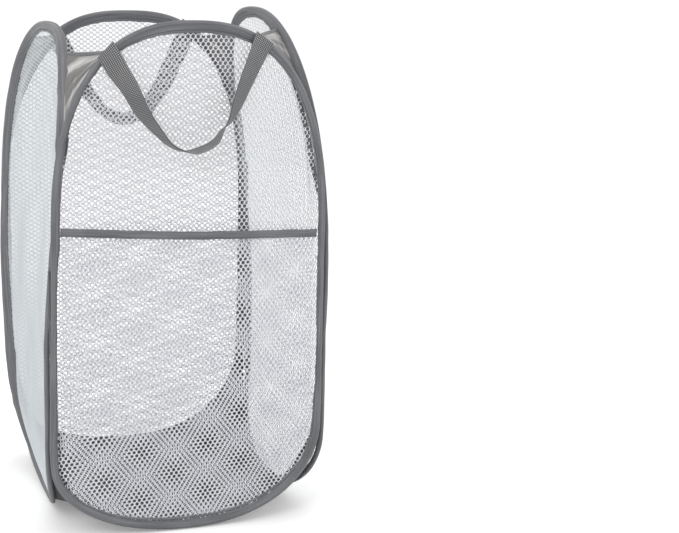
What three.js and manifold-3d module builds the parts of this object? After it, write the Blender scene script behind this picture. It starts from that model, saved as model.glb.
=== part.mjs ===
// A pop up laundry hamper. Four closed hoops of spring wire, each inside a cloth binding with a mesh
// panel across it, are sewn together along four upright corner seams. Gray satin gussets join the
// hoops near the top, a fabric square joins them at the floor, and the front and back carry handles.
// Millimetres, +Z up, front towards -Y, origin on the floor in the middle of the hamper.
import * as THREE from "three";
import { mergeVertices } from "three/addons/utils/BufferGeometryUtils.js";
import Module from "manifold-3d";

const wasm = await Module();
wasm.setup();

// Hamper
const SEAM_HALF = 165; // from the middle of the hamper to a corner's fold line, along X and along Y
const SEWN_GAP = 0.3; // between two pieces that touch
const HOOP_CLEARANCE = 0.5; // from the outer edge of a hoop to the fold line

// Hoops
const FRONT_HEIGHT = 610;
const BACK_HEIGHT = 610;
const LEFT_HEIGHT = 602;
const RIGHT_HEIGHT = 620;
const TOP_START = 362; // height where the sides of a hoop begin to curve in
const TOP_POWER = 2.5; // 2 is an ellipse, more is squarer
const BOTTOM_POWER = 2.2;
const FRONT_LEFT_LOW = 95; // height where the bottom arc meets the upright side
const FRONT_RIGHT_LOW = 125;
const BACK_LEFT_LOW = 95;
const BACK_RIGHT_LOW = 135;
const LEFT_LOW = 125;
const RIGHT_LOW = 105;
const LEAN_START = 400; // above this height a hoop leans out of its upright plane
const FRONT_LEAN = -10; // at the top, positive towards the middle of the hamper
const BACK_LEAN = 8;
const LEFT_LEAN = 32;
const RIGHT_LEAN = 36;
const LOW_LEAN_START = 110; // below this height the side hoops tuck in under the hamper
const SIDE_LOW_LEAN = 18;
const HOOP_STEPS = 8; // steps in each quarter of a hoop
const FOOT_TRIM = 0.5; // flat ground into the lowest point of a binding

// Wire and ferrule
const WIRE_RADIUS = 1.25;
const WIRE_SIDES = 6;
const WIRE_END_GAP = 0.6;
const FERRULE_BORE_RADIUS = 1.55;
const FERRULE_RADIUS = 2;
const FERRULE_LENGTH = 22;
const FERRULE_SPLIT_DEG = 20; // half of the slot left by rolling the tube
const FERRULE_SIDES = 8;

// Binding
const BINDING_THICKNESS = 7; // over the wire
const BINDING_WIDTH = 12.5;
const FLAP_THICKNESS = 0.9; // one layer of folded tape
const BEAD_LENGTH = 7; // how far the thick edge reaches before the flaps close
const BEAD_CREST = 4.7; // where the thick edge is thickest, in from the outer edge
const WIRE_POCKET_GAP = 0.3; // between the ferrule and the tape round it

// Mesh
const NET_THICKNESS = 0.8;
const NET_LAP = 8.5; // from the hoop's outer edge to the mesh's edge inside the binding
const NET_SELVAGE = 5; // plain strip along the mesh's edge
const NET_BORDER = 8; // the gaps begin this far in from the mesh's edge
const NET_PITCH = 60;
const NET_ROW_PITCH = 44;
const NET_STRAND = 7;
const NET_CUT_SHARE = 0.45; // a gap cut back to less than this share of its area is left closed

// Pocket
const POCKET_HEIGHT = 362; // top edge of the hem at its ends
const POCKET_SLACK = 10; // how far the mouth stands off the front mesh
const POCKET_SLACK_POWER = 1.5;
const HEM_HEIGHT = 10;
const HEM_THICKNESS = 1.6;
const HEM_SAG = 2;
const HEM_STEPS = 12;

// Handles
const WEBBING_WIDTH = 25;
const WEBBING_THICKNESS = 1.6;
const HANDLE_SHIFT = -10; // both handles hang a little left of the middle
const HANDLE_END_HALF = 83.5; // from a handle's middle to the middle of either fold line
const HANDLE_FOLD_DROP = 48; // from the top of the hoop down to the fold lines
const HANDLE_SLANT_DEG = 31; // the sewn ends lean out from upright by this
const HANDLE_DROP = 101; // from the fold lines down to the lowest point
const HANDLE_REACH = 31; // outermost edge of a hanging handle, from the plane of the seams
const HANDLE_STEPS = 22;
const HANDLE_TWIST_START_SHARE = 0.34; // share of a leg that hangs flat before it twists
const HANDLE_LEG_SHARES = [
  [1, 0],
  [0.78, 0.3],
  [0.52, 0.68],
  [0.24, 0.93],
  [0, 1],
];

// Corner seams
const SEAM_BEAD_RADIUS = 1.4;
const SEAM_BEAD_SIDES = 6;
const SEAM_BOTTOM = 125;
const SEAM_TOP = 400;

// Top gussets
const GUSSET_THICKNESS = 0.8;
const GUSSET_TIP_SHARE = 0.12; // of the quarter turn from a hoop's side to its top
const LEFT_GUSSET_HEM_SHARE = 0.625;
const RIGHT_GUSSET_HEM_SHARE = 0.75;
const GUSSET_SAG = 5; // in the middle of the hem

// Bottom
const BOTTOM_THICKNESS = 1;
const BOTTOM_FLAT_SHARE = 0.88; // share of the half width that lies flat on the floor
const BOTTOM_LAP = 4; // its edge follows the hoops this far in from their outer edge
const BOTTOM_SHARES = [0, 0.34, 0.62, 0.88, 0.93, 0.97, 1];
const BOTTOM_CORNER_CUT = 4; // the corner stands back from the fold line by this

const MID_OUT = SEWN_GAP + BINDING_THICKNESS / 2; // middle of a binding, outside the seam plane
const HOOP_HALF = SEAM_HALF - HOOP_CLEARANCE;

const SIDES = {
  front: { turns: 0, height: FRONT_HEIGHT, lean: FRONT_LEAN, lowLean: 0, low: [FRONT_LEFT_LOW,
    FRONT_RIGHT_LOW] },
  right: { turns: 1, height: RIGHT_HEIGHT, lean: RIGHT_LEAN, lowLean: SIDE_LOW_LEAN,
    low: [RIGHT_LOW, RIGHT_LOW] },
  back: { turns: 2, height: BACK_HEIGHT, lean: BACK_LEAN, lowLean: 0, low: [BACK_RIGHT_LOW, BACK_LEFT_LOW] },
  left: { turns: 3, height: LEFT_HEIGHT, lean: LEFT_LEAN, lowLean: SIDE_LOW_LEAN, low: [LEFT_LOW, LEFT_LOW] },
};

const tape = new THREE.MeshStandardMaterial({ color: 0x6f7175, roughness: 0.85, metalness: 0 });
const webbing = new THREE.MeshStandardMaterial({ color: 0x77797c, roughness: 0.9, metalness: 0 });
const satin = new THREE.MeshStandardMaterial({ color: 0x9a9b9e, roughness: 0.5, metalness: 0 });
const mesh = new THREE.MeshStandardMaterial({ color: 0xe6e8ec, roughness: 0.8, metalness: 0 });
const steel = new THREE.MeshStandardMaterial({ color: 0xa8abb0, roughness: 0.35, metalness: 1 });

// A closed solid for manifold-3d from a geometry, and a geometry from a solid.
function solidOf(geometry) {
  const bare = new THREE.BufferGeometry();
  bare.setAttribute("position", geometry.getAttribute("position"));
  bare.setIndex(geometry.index);
  const merged = mergeVertices(bare, SEWN_GAP / 300);
  const vertProperties = merged.attributes.position.array;
  return new wasm.Manifold(
    new wasm.Mesh({ numProp: 3, vertProperties, triVerts: new Uint32Array(merged.index.array) }),
  );
}

function geometryOf(solid) {
  const data = solid.getMesh();
  const geometry = new THREE.BufferGeometry();
  geometry.setAttribute("position", new THREE.BufferAttribute(data.vertProperties.slice(), 3));
  geometry.setIndex(new THREE.BufferAttribute(data.triVerts.slice(), 1));
  return geometry;
}

// Turns the faces of a closed geometry outwards.
function facingOut(geometry) {
  const p = geometry.getAttribute("position");
  const index = geometry.index.array;
  const [a, b, c] = [new THREE.Vector3(), new THREE.Vector3(), new THREE.Vector3()];
  let volume = 0;
  for (let i = 0; i < index.length; i += 3) {
    a.fromBufferAttribute(p, index[i]);
    b.fromBufferAttribute(p, index[i + 1]);
    c.fromBufferAttribute(p, index[i + 2]);
    volume += a.dot(b.cross(c));
  }
  if (volume < 0)
    for (let i = 0; i < index.length; i += 3) [index[i + 1], index[i + 2]] = [index[i + 2], index[i + 1]];
  return geometry;
}

// A solid through rings of points. A closed run joins the last ring to the first, and an open one is
// capped with the triangles of its flat section. The second half of a section takes the other
// diagonal, so that the two sides of a thin strip bend along the same lines.
function loft(rings, closed, section) {
  const size = rings[0].length;
  const positions = rings.flat().flatMap((v) => [v.x, v.y, v.z]);
  const faces = [];
  const last = closed ? rings.length : rings.length - 1;
  for (let i = 0; i < last; i++) {
    const here = i * size;
    const next = ((i + 1) % rings.length) * size;
    for (let j = 0; j < size; j++) {
      const k = (j + 1) % size;
      const [a, b, c, d] = [here + j, next + j, next + k, here + k];
      if (2 * j < size) faces.push(a, b, c, a, c, d);
      else faces.push(a, b, d, b, c, d);
    }
  }
  if (!closed) {
    const end = (rings.length - 1) * size;
    const turn = Math.sign(THREE.ShapeUtils.area(section));
    for (const face of THREE.ShapeUtils.triangulateShape(section, [])) {
      const same = Math.sign(THREE.ShapeUtils.area(face.map((i) => section[i]))) === turn;
      const [a, b, c] = same ? face : face.reverse();
      faces.push(a, b, c, end + a, end + c, end + b);
    }
  }
  const geometry = new THREE.BufferGeometry();
  geometry.setAttribute("position", new THREE.Float32BufferAttribute(positions, 3));
  geometry.setIndex(faces);
  return facingOut(geometry);
}

// How far a hoop leans towards the middle of the hamper at a height.
function lean(side, z) {
  const up = Math.max(0, z - LEAN_START) / (side.height - LEAN_START);
  const down = Math.max(0, LOW_LEAN_START - z) / LOW_LEAN_START;
  return side.lean * up ** 2 + side.lowLean * down ** 2;
}

// A point of a side as seen from outside: across to the right, outwards from the middle of the
// binding, and up. The side stands as the front does, and its group turns it into place.
function place(side, across, out, z) {
  return new THREE.Vector3(across, -(SEAM_HALF + MID_OUT + out - lean(side, z)), z);
}

// One sample of a hoop's outer edge, with the direction inwards in the hoop's own plane.
function hoopSample(side, quarter, share) {
  const angle = ((quarter - 1 + share) * Math.PI) / 2;
  const [c, s] = [Math.cos(angle), Math.sin(angle)];
  const top = quarter === 1 || quarter === 2;
  const power = top ? TOP_POWER : BOTTOM_POWER;
  const rightward = quarter < 2 ? 1 : -1;
  const low = side.low[rightward > 0 ? 1 : 0];
  const base = top ? TOP_START : low - FOOT_TRIM;
  const reach = top ? side.height - TOP_START : low;
  const u = Math.abs(c) ** (2 / power);
  const v = Math.abs(s) ** (2 / power);
  const inward = new THREE.Vector2(
    (-rightward * u ** (power - 1)) / HOOP_HALF,
    ((top ? -1 : 1) * v ** (power - 1)) / reach,
  ).normalize();
  return {
    across: rightward * HOOP_HALF * u,
    z: top ? base + reach * v : base - reach * v,
    inward,
  };
}

// The whole outer edge, from the lowest point round by the right.
function hoopSamples(side) {
  const samples = [];
  for (let quarter = 0; quarter < 4; quarter++) {
    const first = quarter === 2 ? 1 : 0;
    const last = quarter === 3 ? HOOP_STEPS - 1 : HOOP_STEPS;
    for (let k = first; k <= last; k++) samples.push(hoopSample(side, quarter, k / HOOP_STEPS));
  }
  return samples;
}

function inset(sample, distance) {
  return new THREE.Vector2(
    sample.across + distance * sample.inward.x,
    sample.z + distance * sample.inward.y,
  );
}

function ringAt(side, sample, section) {
  return section.map(({ x, y }) => {
    const point = inset(sample, x);
    return place(side, point.x, y, point.y);
  });
}

function between(a, b, share) {
  return {
    across: THREE.MathUtils.lerp(a.across, b.across, share),
    z: THREE.MathUtils.lerp(a.z, b.z, share),
    inward: a.inward.clone().lerp(b.inward, share).normalize(),
  };
}

function circleSection(radius, sides, centre, from = 0, to = 2 * Math.PI) {
  const open = to - from < 2 * Math.PI;
  const steps = open ? sides - 1 : sides;
  return Array.from({ length: sides }, (_, i) => {
    const angle = from + ((to - from) * i) / steps;
    return new THREE.Vector2(centre + radius * Math.cos(angle), radius * Math.sin(angle));
  });
}

const WIRE_DEPTH = BINDING_THICKNESS / 2; // wire centre, in from the hoop's outer edge

function hoopWire(side) {
  const section = circleSection(WIRE_RADIUS, WIRE_SIDES, WIRE_DEPTH);
  const samples = hoopSamples(side);
  const halfGap = WIRE_END_GAP / 2;
  const [bottom, ...rest] = samples;
  const start = { ...bottom, across: halfGap };
  const end = { ...bottom, across: -halfGap };
  return loft([start, ...rest, end].map((s) => ringAt(side, s, section)), false, section);
}

// A short tube rolled round the two ends of the wire, with the slot of the rolling facing in.
function wireFerrule(side) {
  const slot = THREE.MathUtils.degToRad(FERRULE_SPLIT_DEG);
  const outer = circleSection(FERRULE_RADIUS, FERRULE_SIDES, WIRE_DEPTH, slot, 2 * Math.PI - slot);
  const bore = circleSection(FERRULE_BORE_RADIUS, FERRULE_SIDES, WIRE_DEPTH, slot, 2 * Math.PI - slot);
  const section = [...outer, ...bore.reverse()];
  const samples = hoopSamples(side);
  const bottom = samples[0];
  const shareTo = (next) => FERRULE_LENGTH / 2 / Math.abs(next.across - bottom.across);
  const [right, left] = [samples[1], samples[samples.length - 1]];
  const rings = [between(bottom, left, shareTo(left)), bottom, between(bottom, right, shareTo(right))];
  return loft(rings.map((s) => ringAt(side, s, section)), false, section);
}

// The folded tape: thick round the wire, then two flaps with the mesh between them.
function bindingSection(layersOut) {
  const half = BINDING_THICKNESS / 2;
  const slit = NET_THICKNESS / 2 + SEWN_GAP;
  const pocketRadius = FERRULE_RADIUS + WIRE_POCKET_GAP;
  const corner = (2 * pocketRadius) / Math.sqrt(3);
  const mouth = WIRE_DEPTH + corner - slit / Math.sqrt(3);
  const outSlit = slit + layersOut;
  const points = [
    [BINDING_WIDTH, outSlit + FLAP_THICKNESS],
    [BEAD_LENGTH, Math.min(half, outSlit + FLAP_THICKNESS)],
    [BEAD_CREST, half],
    [half / 3, half - half / 8],
    [0, half / 3],
    [0, -half / 3],
    [half / 3, half / 8 - half],
    [BEAD_CREST, -half],
    [BEAD_LENGTH, -slit - FLAP_THICKNESS],
    [BINDING_WIDTH, -slit - FLAP_THICKNESS],
    [BINDING_WIDTH, -slit],
    [mouth, -slit],
    [WIRE_DEPTH + corner / 2, -pocketRadius],
    [WIRE_DEPTH - corner / 2, -pocketRadius],
    [WIRE_DEPTH - corner, 0],
    [WIRE_DEPTH - corner / 2, pocketRadius],
    [WIRE_DEPTH + corner / 2, pocketRadius],
    [mouth, slit],
  ];
  if (layersOut) points.push([mouth + layersOut, outSlit]);
  points.push([BINDING_WIDTH, outSlit]);
  return points.map(([x, y]) => new THREE.Vector2(x, y));
}

const POCKET_LAYER = SEWN_GAP + NET_THICKNESS; // the pocket's mesh lies this far outside the panel's

function floorCut() {
  const size = 4 * SEAM_HALF;
  const box = new THREE.BoxGeometry(size, size, size);
  box.deleteAttribute("normal");
  box.deleteAttribute("uv");
  box.translate(0, 0, -size / 2);
  return solidOf(box);
}

function binding(side, layersOut) {
  const section = bindingSection(layersOut);
  const tube = loft(hoopSamples(side).map((s) => ringAt(side, s, section)), true, section);
  return geometryOf(solidOf(tube).subtract(floorCut()));
}

// A flat plate from the outline's points, X across and Y up, half its thickness to either side.
function plate(points, thickness) {
  const shape = new THREE.Shape(points);
  const flat = new THREE.ExtrudeGeometry(shape, { depth: thickness, bevelEnabled: false });
  return flat.translate(0, 0, -thickness / 2);
}

// The gaps of a net: staggered diamonds, each cut back to the border.
function netGaps(border) {
  const deep = 3 * NET_THICKNESS;
  const field = solidOf(plate(border, deep));
  const top = Math.max(...border.map((point) => point.y));
  const [halfWide, halfTall] = [(NET_PITCH - NET_STRAND) / 2, NET_ROW_PITCH - NET_STRAND / 2];
  const columns = Math.ceil(HOOP_HALF / NET_PITCH);
  const gaps = [];
  for (let row = 1; row * NET_ROW_PITCH < top; row++) {
    const shift = row % 2 ? NET_PITCH / 2 : 0;
    for (let column = -columns; column <= columns; column++) {
      const middle = new THREE.Vector2(column * NET_PITCH + shift, row * NET_ROW_PITCH);
      const corners = [
        [halfWide, 0],
        [0, halfTall],
        [-halfWide, 0],
        [0, -halfTall],
      ].map(([x, y]) => new THREE.Vector2(x, y).add(middle));
      const diamond = solidOf(plate(corners, deep));
      const gap = diamond.intersect(field);
      if (gap.volume() > diamond.volume() * NET_CUT_SHARE) gaps.push(gap);
    }
  }
  return gaps;
}

// Bends a flat plate onto a leaning side, a distance outside the middle of the binding.
function bendOnto(side, flat, outAt) {
  const p = flat.getAttribute("position");
  for (let i = 0; i < p.count; i++) {
    const [across, z] = [p.getX(i), p.getY(i)];
    const point = place(side, across, outAt(across, z) + p.getZ(i), z);
    p.setXYZ(i, point.x, point.y, point.z);
  }
  return facingOut(flat);
}

// A net on a side: a closed strip along its outline, then the field with its gaps. The strip has
// points at each sample of the hoop, as the binding round it has, so the two bend alike.
function net(side, outlineAt, outAt) {
  const [edge, seam] = [outlineAt(NET_LAP), outlineAt(NET_LAP + NET_SELVAGE)];
  const half = NET_THICKNESS / 2;
  const bent = ({ x, y }, depth) => place(side, x, outAt(x, y) + depth, y);
  const rings = edge.map((point, i) => [
    bent(seam[i], half),
    bent(point, half),
    bent(point, -half),
    bent(seam[i], -half),
  ]);
  const field = netGaps(outlineAt(NET_LAP + NET_BORDER)).reduce(
    (left, gap) => left.subtract(gap),
    solidOf(plate(seam, NET_THICKNESS)),
  );
  return geometryOf(solidOf(loft(rings, true)).add(solidOf(bendOnto(side, geometryOf(field), outAt))));
}

function meshPanel(side) {
  const outlineAt = (distance) => hoopSamples(side).map((s) => inset(s, distance));
  return net(side, outlineAt, () => 0);
}

// The pocket's mouth stands off the front mesh, most in the middle, and lies on it at the hoop.
function pocketOut(across, z) {
  const sewn = HOOP_HALF - NET_LAP;
  const wide = Math.cos((Math.PI / 2) * Math.min(1, Math.abs(across) / sewn)) ** 2;
  const tall = Math.min(1, Math.max(0, z) / POCKET_HEIGHT) ** POCKET_SLACK_POWER;
  return POCKET_LAYER + POCKET_SLACK * wide * tall;
}

// A line across the pocket's mouth, from right to left, that sags a little in the middle.
function mouthLine(halfWidth, height) {
  return Array.from({ length: HEM_STEPS + 1 }, (_, i) => {
    const across = halfWidth * (1 - (2 * i) / HEM_STEPS);
    return new THREE.Vector2(across, height - HEM_SAG * (1 - (across / halfWidth) ** 2));
  });
}

function pocketMesh(side) {
  const top = POCKET_HEIGHT - HEM_HEIGHT - SEWN_GAP;
  const outlineAt = (distance) => {
    const samples = hoopSamples(side);
    const right = samples.slice(0, HOOP_STEPS + 1).map((s) => inset(s, distance));
    const left = samples.slice(3 * HOOP_STEPS + 2).map((s) => inset(s, distance));
    return [...right, ...mouthLine(HOOP_HALF - distance, top - (distance - NET_LAP)), ...left];
  };
  return net(side, outlineAt, pocketOut);
}

function pocketHem(side) {
  const halfWidth = HOOP_HALF - BINDING_WIDTH - SEWN_GAP;
  const half = HEM_THICKNESS / 2;
  const section = [
    [-HEM_HEIGHT, -half],
    [0, -half],
    [0, half],
    [-HEM_HEIGHT, half],
  ].map(([x, y]) => new THREE.Vector2(x, y));
  const rings = mouthLine(halfWidth, POCKET_HEIGHT).map((point) =>
    section.map(({ x, y }) => {
      const out = pocketOut(point.x, POCKET_HEIGHT) + (HEM_THICKNESS - NET_THICKNESS) / 2;
      return place(side, point.x, out + y, point.y + x);
    }),
  );
  return loft(rings, false, section);
}

// What places a handle on its side: its middle, its fold lines, and how far out the webbing lies.
function handlePlan(side) {
  const slant = THREE.MathUtils.degToRad(HANDLE_SLANT_DEG);
  return {
    shift: side.turns === 0 ? HANDLE_SHIFT : -HANDLE_SHIFT,
    foldHeight: side.height - HANDLE_FOLD_DROP,
    flatOut: BINDING_THICKNESS / 2 + SEWN_GAP + WEBBING_THICKNESS / 2,
    foldHalf: WEBBING_WIDTH / 2 / Math.cos(slant),
    run: Math.tan(slant),
  };
}

// A sewn end: slanted webbing from the fold line up, cut off along the arc of the hoop. The hand is
// 1 on the right and -1 on the left.
function handleTab(side, hand) {
  const { shift, foldHeight, foldHalf, flatOut, run } = handlePlan(side);
  const middle = shift + hand * HANDLE_END_HALF;
  const low = foldHeight + SEWN_GAP / 2;
  const rise = side.height - low;
  const strap = [
    new THREE.Vector2(middle - foldHalf, low),
    new THREE.Vector2(middle + foldHalf, low),
    new THREE.Vector2(middle + foldHalf + hand * run * rise, side.height),
    new THREE.Vector2(middle - foldHalf + hand * run * rise, side.height),
  ];
  const sewn = hoopSamples(side).map((sample) => inset(sample, SEWN_GAP));
  const cut = solidOf(plate(strap, WEBBING_THICKNESS)).intersect(solidOf(plate(sewn, 2 * WEBBING_THICKNESS)));
  return bendOnto(side, geometryOf(cut), () => flatOut);
}

// The free webbing: flat at the fold lines, and turned edge-on to the hamper at its lowest point.
function handle(side) {
  const { shift, foldHeight, foldHalf, flatOut } = handlePlan(side);
  const leg = HANDLE_LEG_SHARES.map(([a, b]) => [a * HANDLE_END_HALF, -b * HANDLE_DROP]);
  const left = leg.map(([x, y]) => new THREE.Vector3(-x, y, 0));
  const right = leg.map(([x, y]) => new THREE.Vector3(x, y, 0)).reverse();
  const path = new THREE.CatmullRomCurve3([...left, ...right.slice(1)], false, "centripetal");
  const half = WEBBING_WIDTH / 2;
  const thick = WEBBING_THICKNESS / 2;
  const section = [
    [-half, -thick],
    [half, -thick],
    [half, thick],
    [-half, thick],
  ].map(([x, y]) => new THREE.Vector2(x, y));
  const lowOut = HANDLE_REACH - half - MID_OUT + lean(side, foldHeight - HANDLE_DROP);
  const rings = Array.from({ length: HANDLE_STEPS + 1 }, (_, i) => {
    const share = i / HANDLE_STEPS;
    const point = path.getPointAt(share);
    const tangent = path.getTangentAt(share);
    const legShare = 2 * Math.min(share, 1 - share);
    const twist = (Math.PI / 2) * THREE.MathUtils.smoothstep(legShare, HANDLE_TWIST_START_SHARE, 1);
    const out = THREE.MathUtils.lerp(flatOut, lowOut, Math.sin(twist));
    const atFold = legShare === 0;
    const across = atFold ? new THREE.Vector2(foldHalf / half, 0) : new THREE.Vector2(-tangent.y, tangent.x);
    if (share === 1) across.negate();
    const fall = atFold ? SEWN_GAP / 2 : 0;
    return section.map(({ x: w, y: t }) => {
      const inPlane = w * Math.cos(twist) - t * Math.sin(twist);
      const outwards = w * Math.sin(twist) + t * Math.cos(twist);
      const z = foldHeight - fall + point.y + inPlane * across.y;
      return place(side, shift + point.x + inPlane * across.x, out + outwards, z);
    });
  });
  return loft(rings, false, section);
}

// A bead of thread and tape down the fold line between two hoops.
function cornerSeam() {
  const section = circleSection(SEAM_BEAD_RADIUS, SEAM_BEAD_SIDES, 0);
  const rings = [SEAM_BOTTOM, SEAM_TOP].map((z) =>
    section.map(({ x, y }) => new THREE.Vector3(SEAM_HALF + x, -SEAM_HALF + y, z)),
  );
  return loft(rings, false, section);
}

// Turns a point of a side, modelled as the front, into its place round the hamper.
function turned(side, point) {
  return point.clone().applyAxisAngle(new THREE.Vector3(0, 0, 1), (side.turns * Math.PI) / 2);
}

// The sewn edge of a gusset: points on its two faces, on the inner side of a hoop's binding.
function gussetEdge(side, quarter, share) {
  const sample = hoopSample(side, quarter, quarter === 1 ? share : 1 - share);
  const sewn = inset(sample, BEAD_CREST);
  const face = -BINDING_THICKNESS / 2 - SEWN_GAP;
  return [face, face - GUSSET_THICKNESS].map((out) => turned(side, place(side, sewn.x, out, sewn.y)));
}

// A satin triangle between two neighbouring hoops, with its straight hem at the top.
function topGusset(here, next) {
  const rings = [];
  const atRight = here === SIDES.right || next === SIDES.right;
  const hemShare = atRight ? RIGHT_GUSSET_HEM_SHARE : LEFT_GUSSET_HEM_SHARE;
  for (let step = 0; step <= HOOP_STEPS; step++) {
    const share = step / HOOP_STEPS;
    if (share < GUSSET_TIP_SHARE || share > hemShare) continue;
    const [a, aBack] = gussetEdge(here, 1, share);
    const [b, bBack] = gussetEdge(next, 2, share);
    const inwards = new THREE.Vector3(-(a.x + b.x), -(a.y + b.y), 0).normalize();
    const sag = GUSSET_SAG * (share / hemShare) ** 2;
    const middle = a.clone().lerp(b, 1 / 2).addScaledVector(inwards, sag);
    const middleBack = middle.clone().addScaledVector(inwards, GUSSET_THICKNESS);
    rings.push([a, middle, b, bBack, middleBack, aBack]);
  }
  const section = [
    [-1, 0],
    [0, 0],
    [1, 0],
    [1, 1],
    [0, 1],
    [-1, 1],
  ].map(([x, y]) => new THREE.Vector2(x, y));
  return loft(rings, false, section);
}

// The fabric square: flat on the floor in the middle, its corners drawn up between the hoops.
function bottomPanel() {
  const steps = BOTTOM_SHARES.length - 1;
  const heights = BOTTOM_SHARES.map((share) => {
    const rises = Object.values(SIDES).map((side) => bottomRise(side, share));
    return rises.reduce((sum, rise) => sum + rise, 0) / rises.length;
  });
  const corner = SEAM_HALF - BOTTOM_CORNER_CUT;
  const reachX = (v) => (v === steps ? corner : SEAM_HALF - lean(SIDES.left, heights[v]));
  const reachY = (u) => (u === steps ? corner : SEAM_HALF);
  const pointAt = (i, j) => {
    const [u, v] = [Math.abs(i), Math.abs(j)];
    const flat = BOTTOM_SHARES[Math.max(u, v)] <= BOTTOM_FLAT_SHARE;
    const x = Math.sign(i) * BOTTOM_SHARES[u] * reachX(v);
    const y = Math.sign(j) * BOTTOM_SHARES[v] * reachY(u);
    return new THREE.Vector3(x, y, flat ? 0 : heights[Math.min(u, v)]);
  };
  const rows = 2 * steps + 1;
  const positions = [];
  for (const lift of [0, BOTTOM_THICKNESS]) {
    for (let j = -steps; j <= steps; j++) {
      for (let i = -steps; i <= steps; i++) {
        const p = pointAt(i, j);
        positions.push(p.x, p.y, p.z + lift);
      }
    }
  }
  const at = (i, j, layer) => layer * rows * rows + j * rows + i;
  const faces = [];
  const quad = (a, b, c, d) => faces.push(a, b, c, a, c, d);
  for (let j = 0; j + 1 < rows; j++) {
    for (let i = 0; i + 1 < rows; i++) {
      const rising = i < steps === j < steps;
      const low = [at(i, j, 0), at(i, j + 1, 0), at(i + 1, j + 1, 0), at(i + 1, j, 0)];
      const high = [at(i, j, 1), at(i + 1, j, 1), at(i + 1, j + 1, 1), at(i, j + 1, 1)];
      quad(...(rising ? low : [...low.slice(1), low[0]]));
      quad(...(rising ? high : [...high.slice(1), high[0]]));
    }
  }
  for (let k = 0; k + 1 < rows; k++) {
    const e = rows - 1;
    quad(at(k, 0, 0), at(k + 1, 0, 0), at(k + 1, 0, 1), at(k, 0, 1));
    quad(at(k + 1, e, 0), at(k, e, 0), at(k, e, 1), at(k + 1, e, 1));
    quad(at(0, k + 1, 0), at(0, k, 0), at(0, k, 1), at(0, k + 1, 1));
    quad(at(e, k, 0), at(e, k + 1, 0), at(e, k + 1, 1), at(e, k, 1));
  }
  const geometry = new THREE.BufferGeometry();
  geometry.setAttribute("position", new THREE.Float32BufferAttribute(positions, 3));
  geometry.setIndex(faces);
  return facingOut(geometry);
}

// Height of the bottom arc of a side, at a share of the way out from its middle.
function bottomRise(side, share) {
  const low = (side.low[0] + side.low[1]) / 2;
  const reach = SEAM_HALF - BOTTOM_LAP;
  const across = Math.min(1, (share * reach) / (HOOP_HALF - BOTTOM_LAP));
  return low * (1 - (1 - across ** BOTTOM_POWER) ** (1 / BOTTOM_POWER));
}

const hamper = new THREE.Group();

function add(group, name, geometry, material) {
  const piece = new THREE.Mesh(geometry, material);
  piece.name = name;
  group.add(piece);
}

for (const [name, side] of Object.entries(SIDES)) {
  const group = new THREE.Group();
  group.rotation.z = (side.turns * Math.PI) / 2;
  hamper.add(group);
  const front = name === "front";
  add(group, name + "_hoop_wire", hoopWire(side), steel);
  add(group, name + "_wire_ferrule", wireFerrule(side), steel);
  add(group, name + "_binding", binding(side, front ? POCKET_LAYER : 0), tape);
  add(group, name + "_mesh_panel", meshPanel(side), mesh);
  if (front) {
    add(group, "front_pocket_mesh", pocketMesh(side), mesh);
    add(group, "front_pocket_hem", pocketHem(side), tape);
  }
  if (front || name === "back") {
    add(group, name + "_handle", handle(side), webbing);
    add(group, name + "_handle_left_tab", handleTab(side, -1), webbing);
    add(group, name + "_handle_right_tab", handleTab(side, 1), webbing);
  }
}

const order = Object.keys(SIDES);
order.forEach((name, i) => {
  const next = order[(i + 1) % order.length];
  const corner = name === "right" || name === "left" ? next + "_" + name : name + "_" + next;
  const group = new THREE.Group();
  group.rotation.z = (SIDES[name].turns * Math.PI) / 2;
  hamper.add(group);
  add(group, corner + "_corner_seam", cornerSeam(), tape);
  add(hamper, corner + "_top_gusset", topGusset(SIDES[name], SIDES[next]), satin);
});

add(hamper, "bottom_panel", bottomPanel(), satin);

export default hamper;
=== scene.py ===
# %% [markdown]
# # A pop up laundry hamper
#
# Four hoops of spring wire stand on edge as the sides of a tall box. Each hoop runs inside a folded
# cloth tape, white knitted net is stretched across it, and neighbouring hoops are sewn together down
# the corners. Everything here is cloth on a sprung line, so the lesson is about sweeping sections
# along a curve, repeating a small form a few thousand times, and hanging flat work on a leaning side.
# All sizes are in metres, with +Z up and the front towards -Y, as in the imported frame.

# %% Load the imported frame
import math

import bpy
import numpy as np
from mathutils import Matrix, Vector


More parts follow.
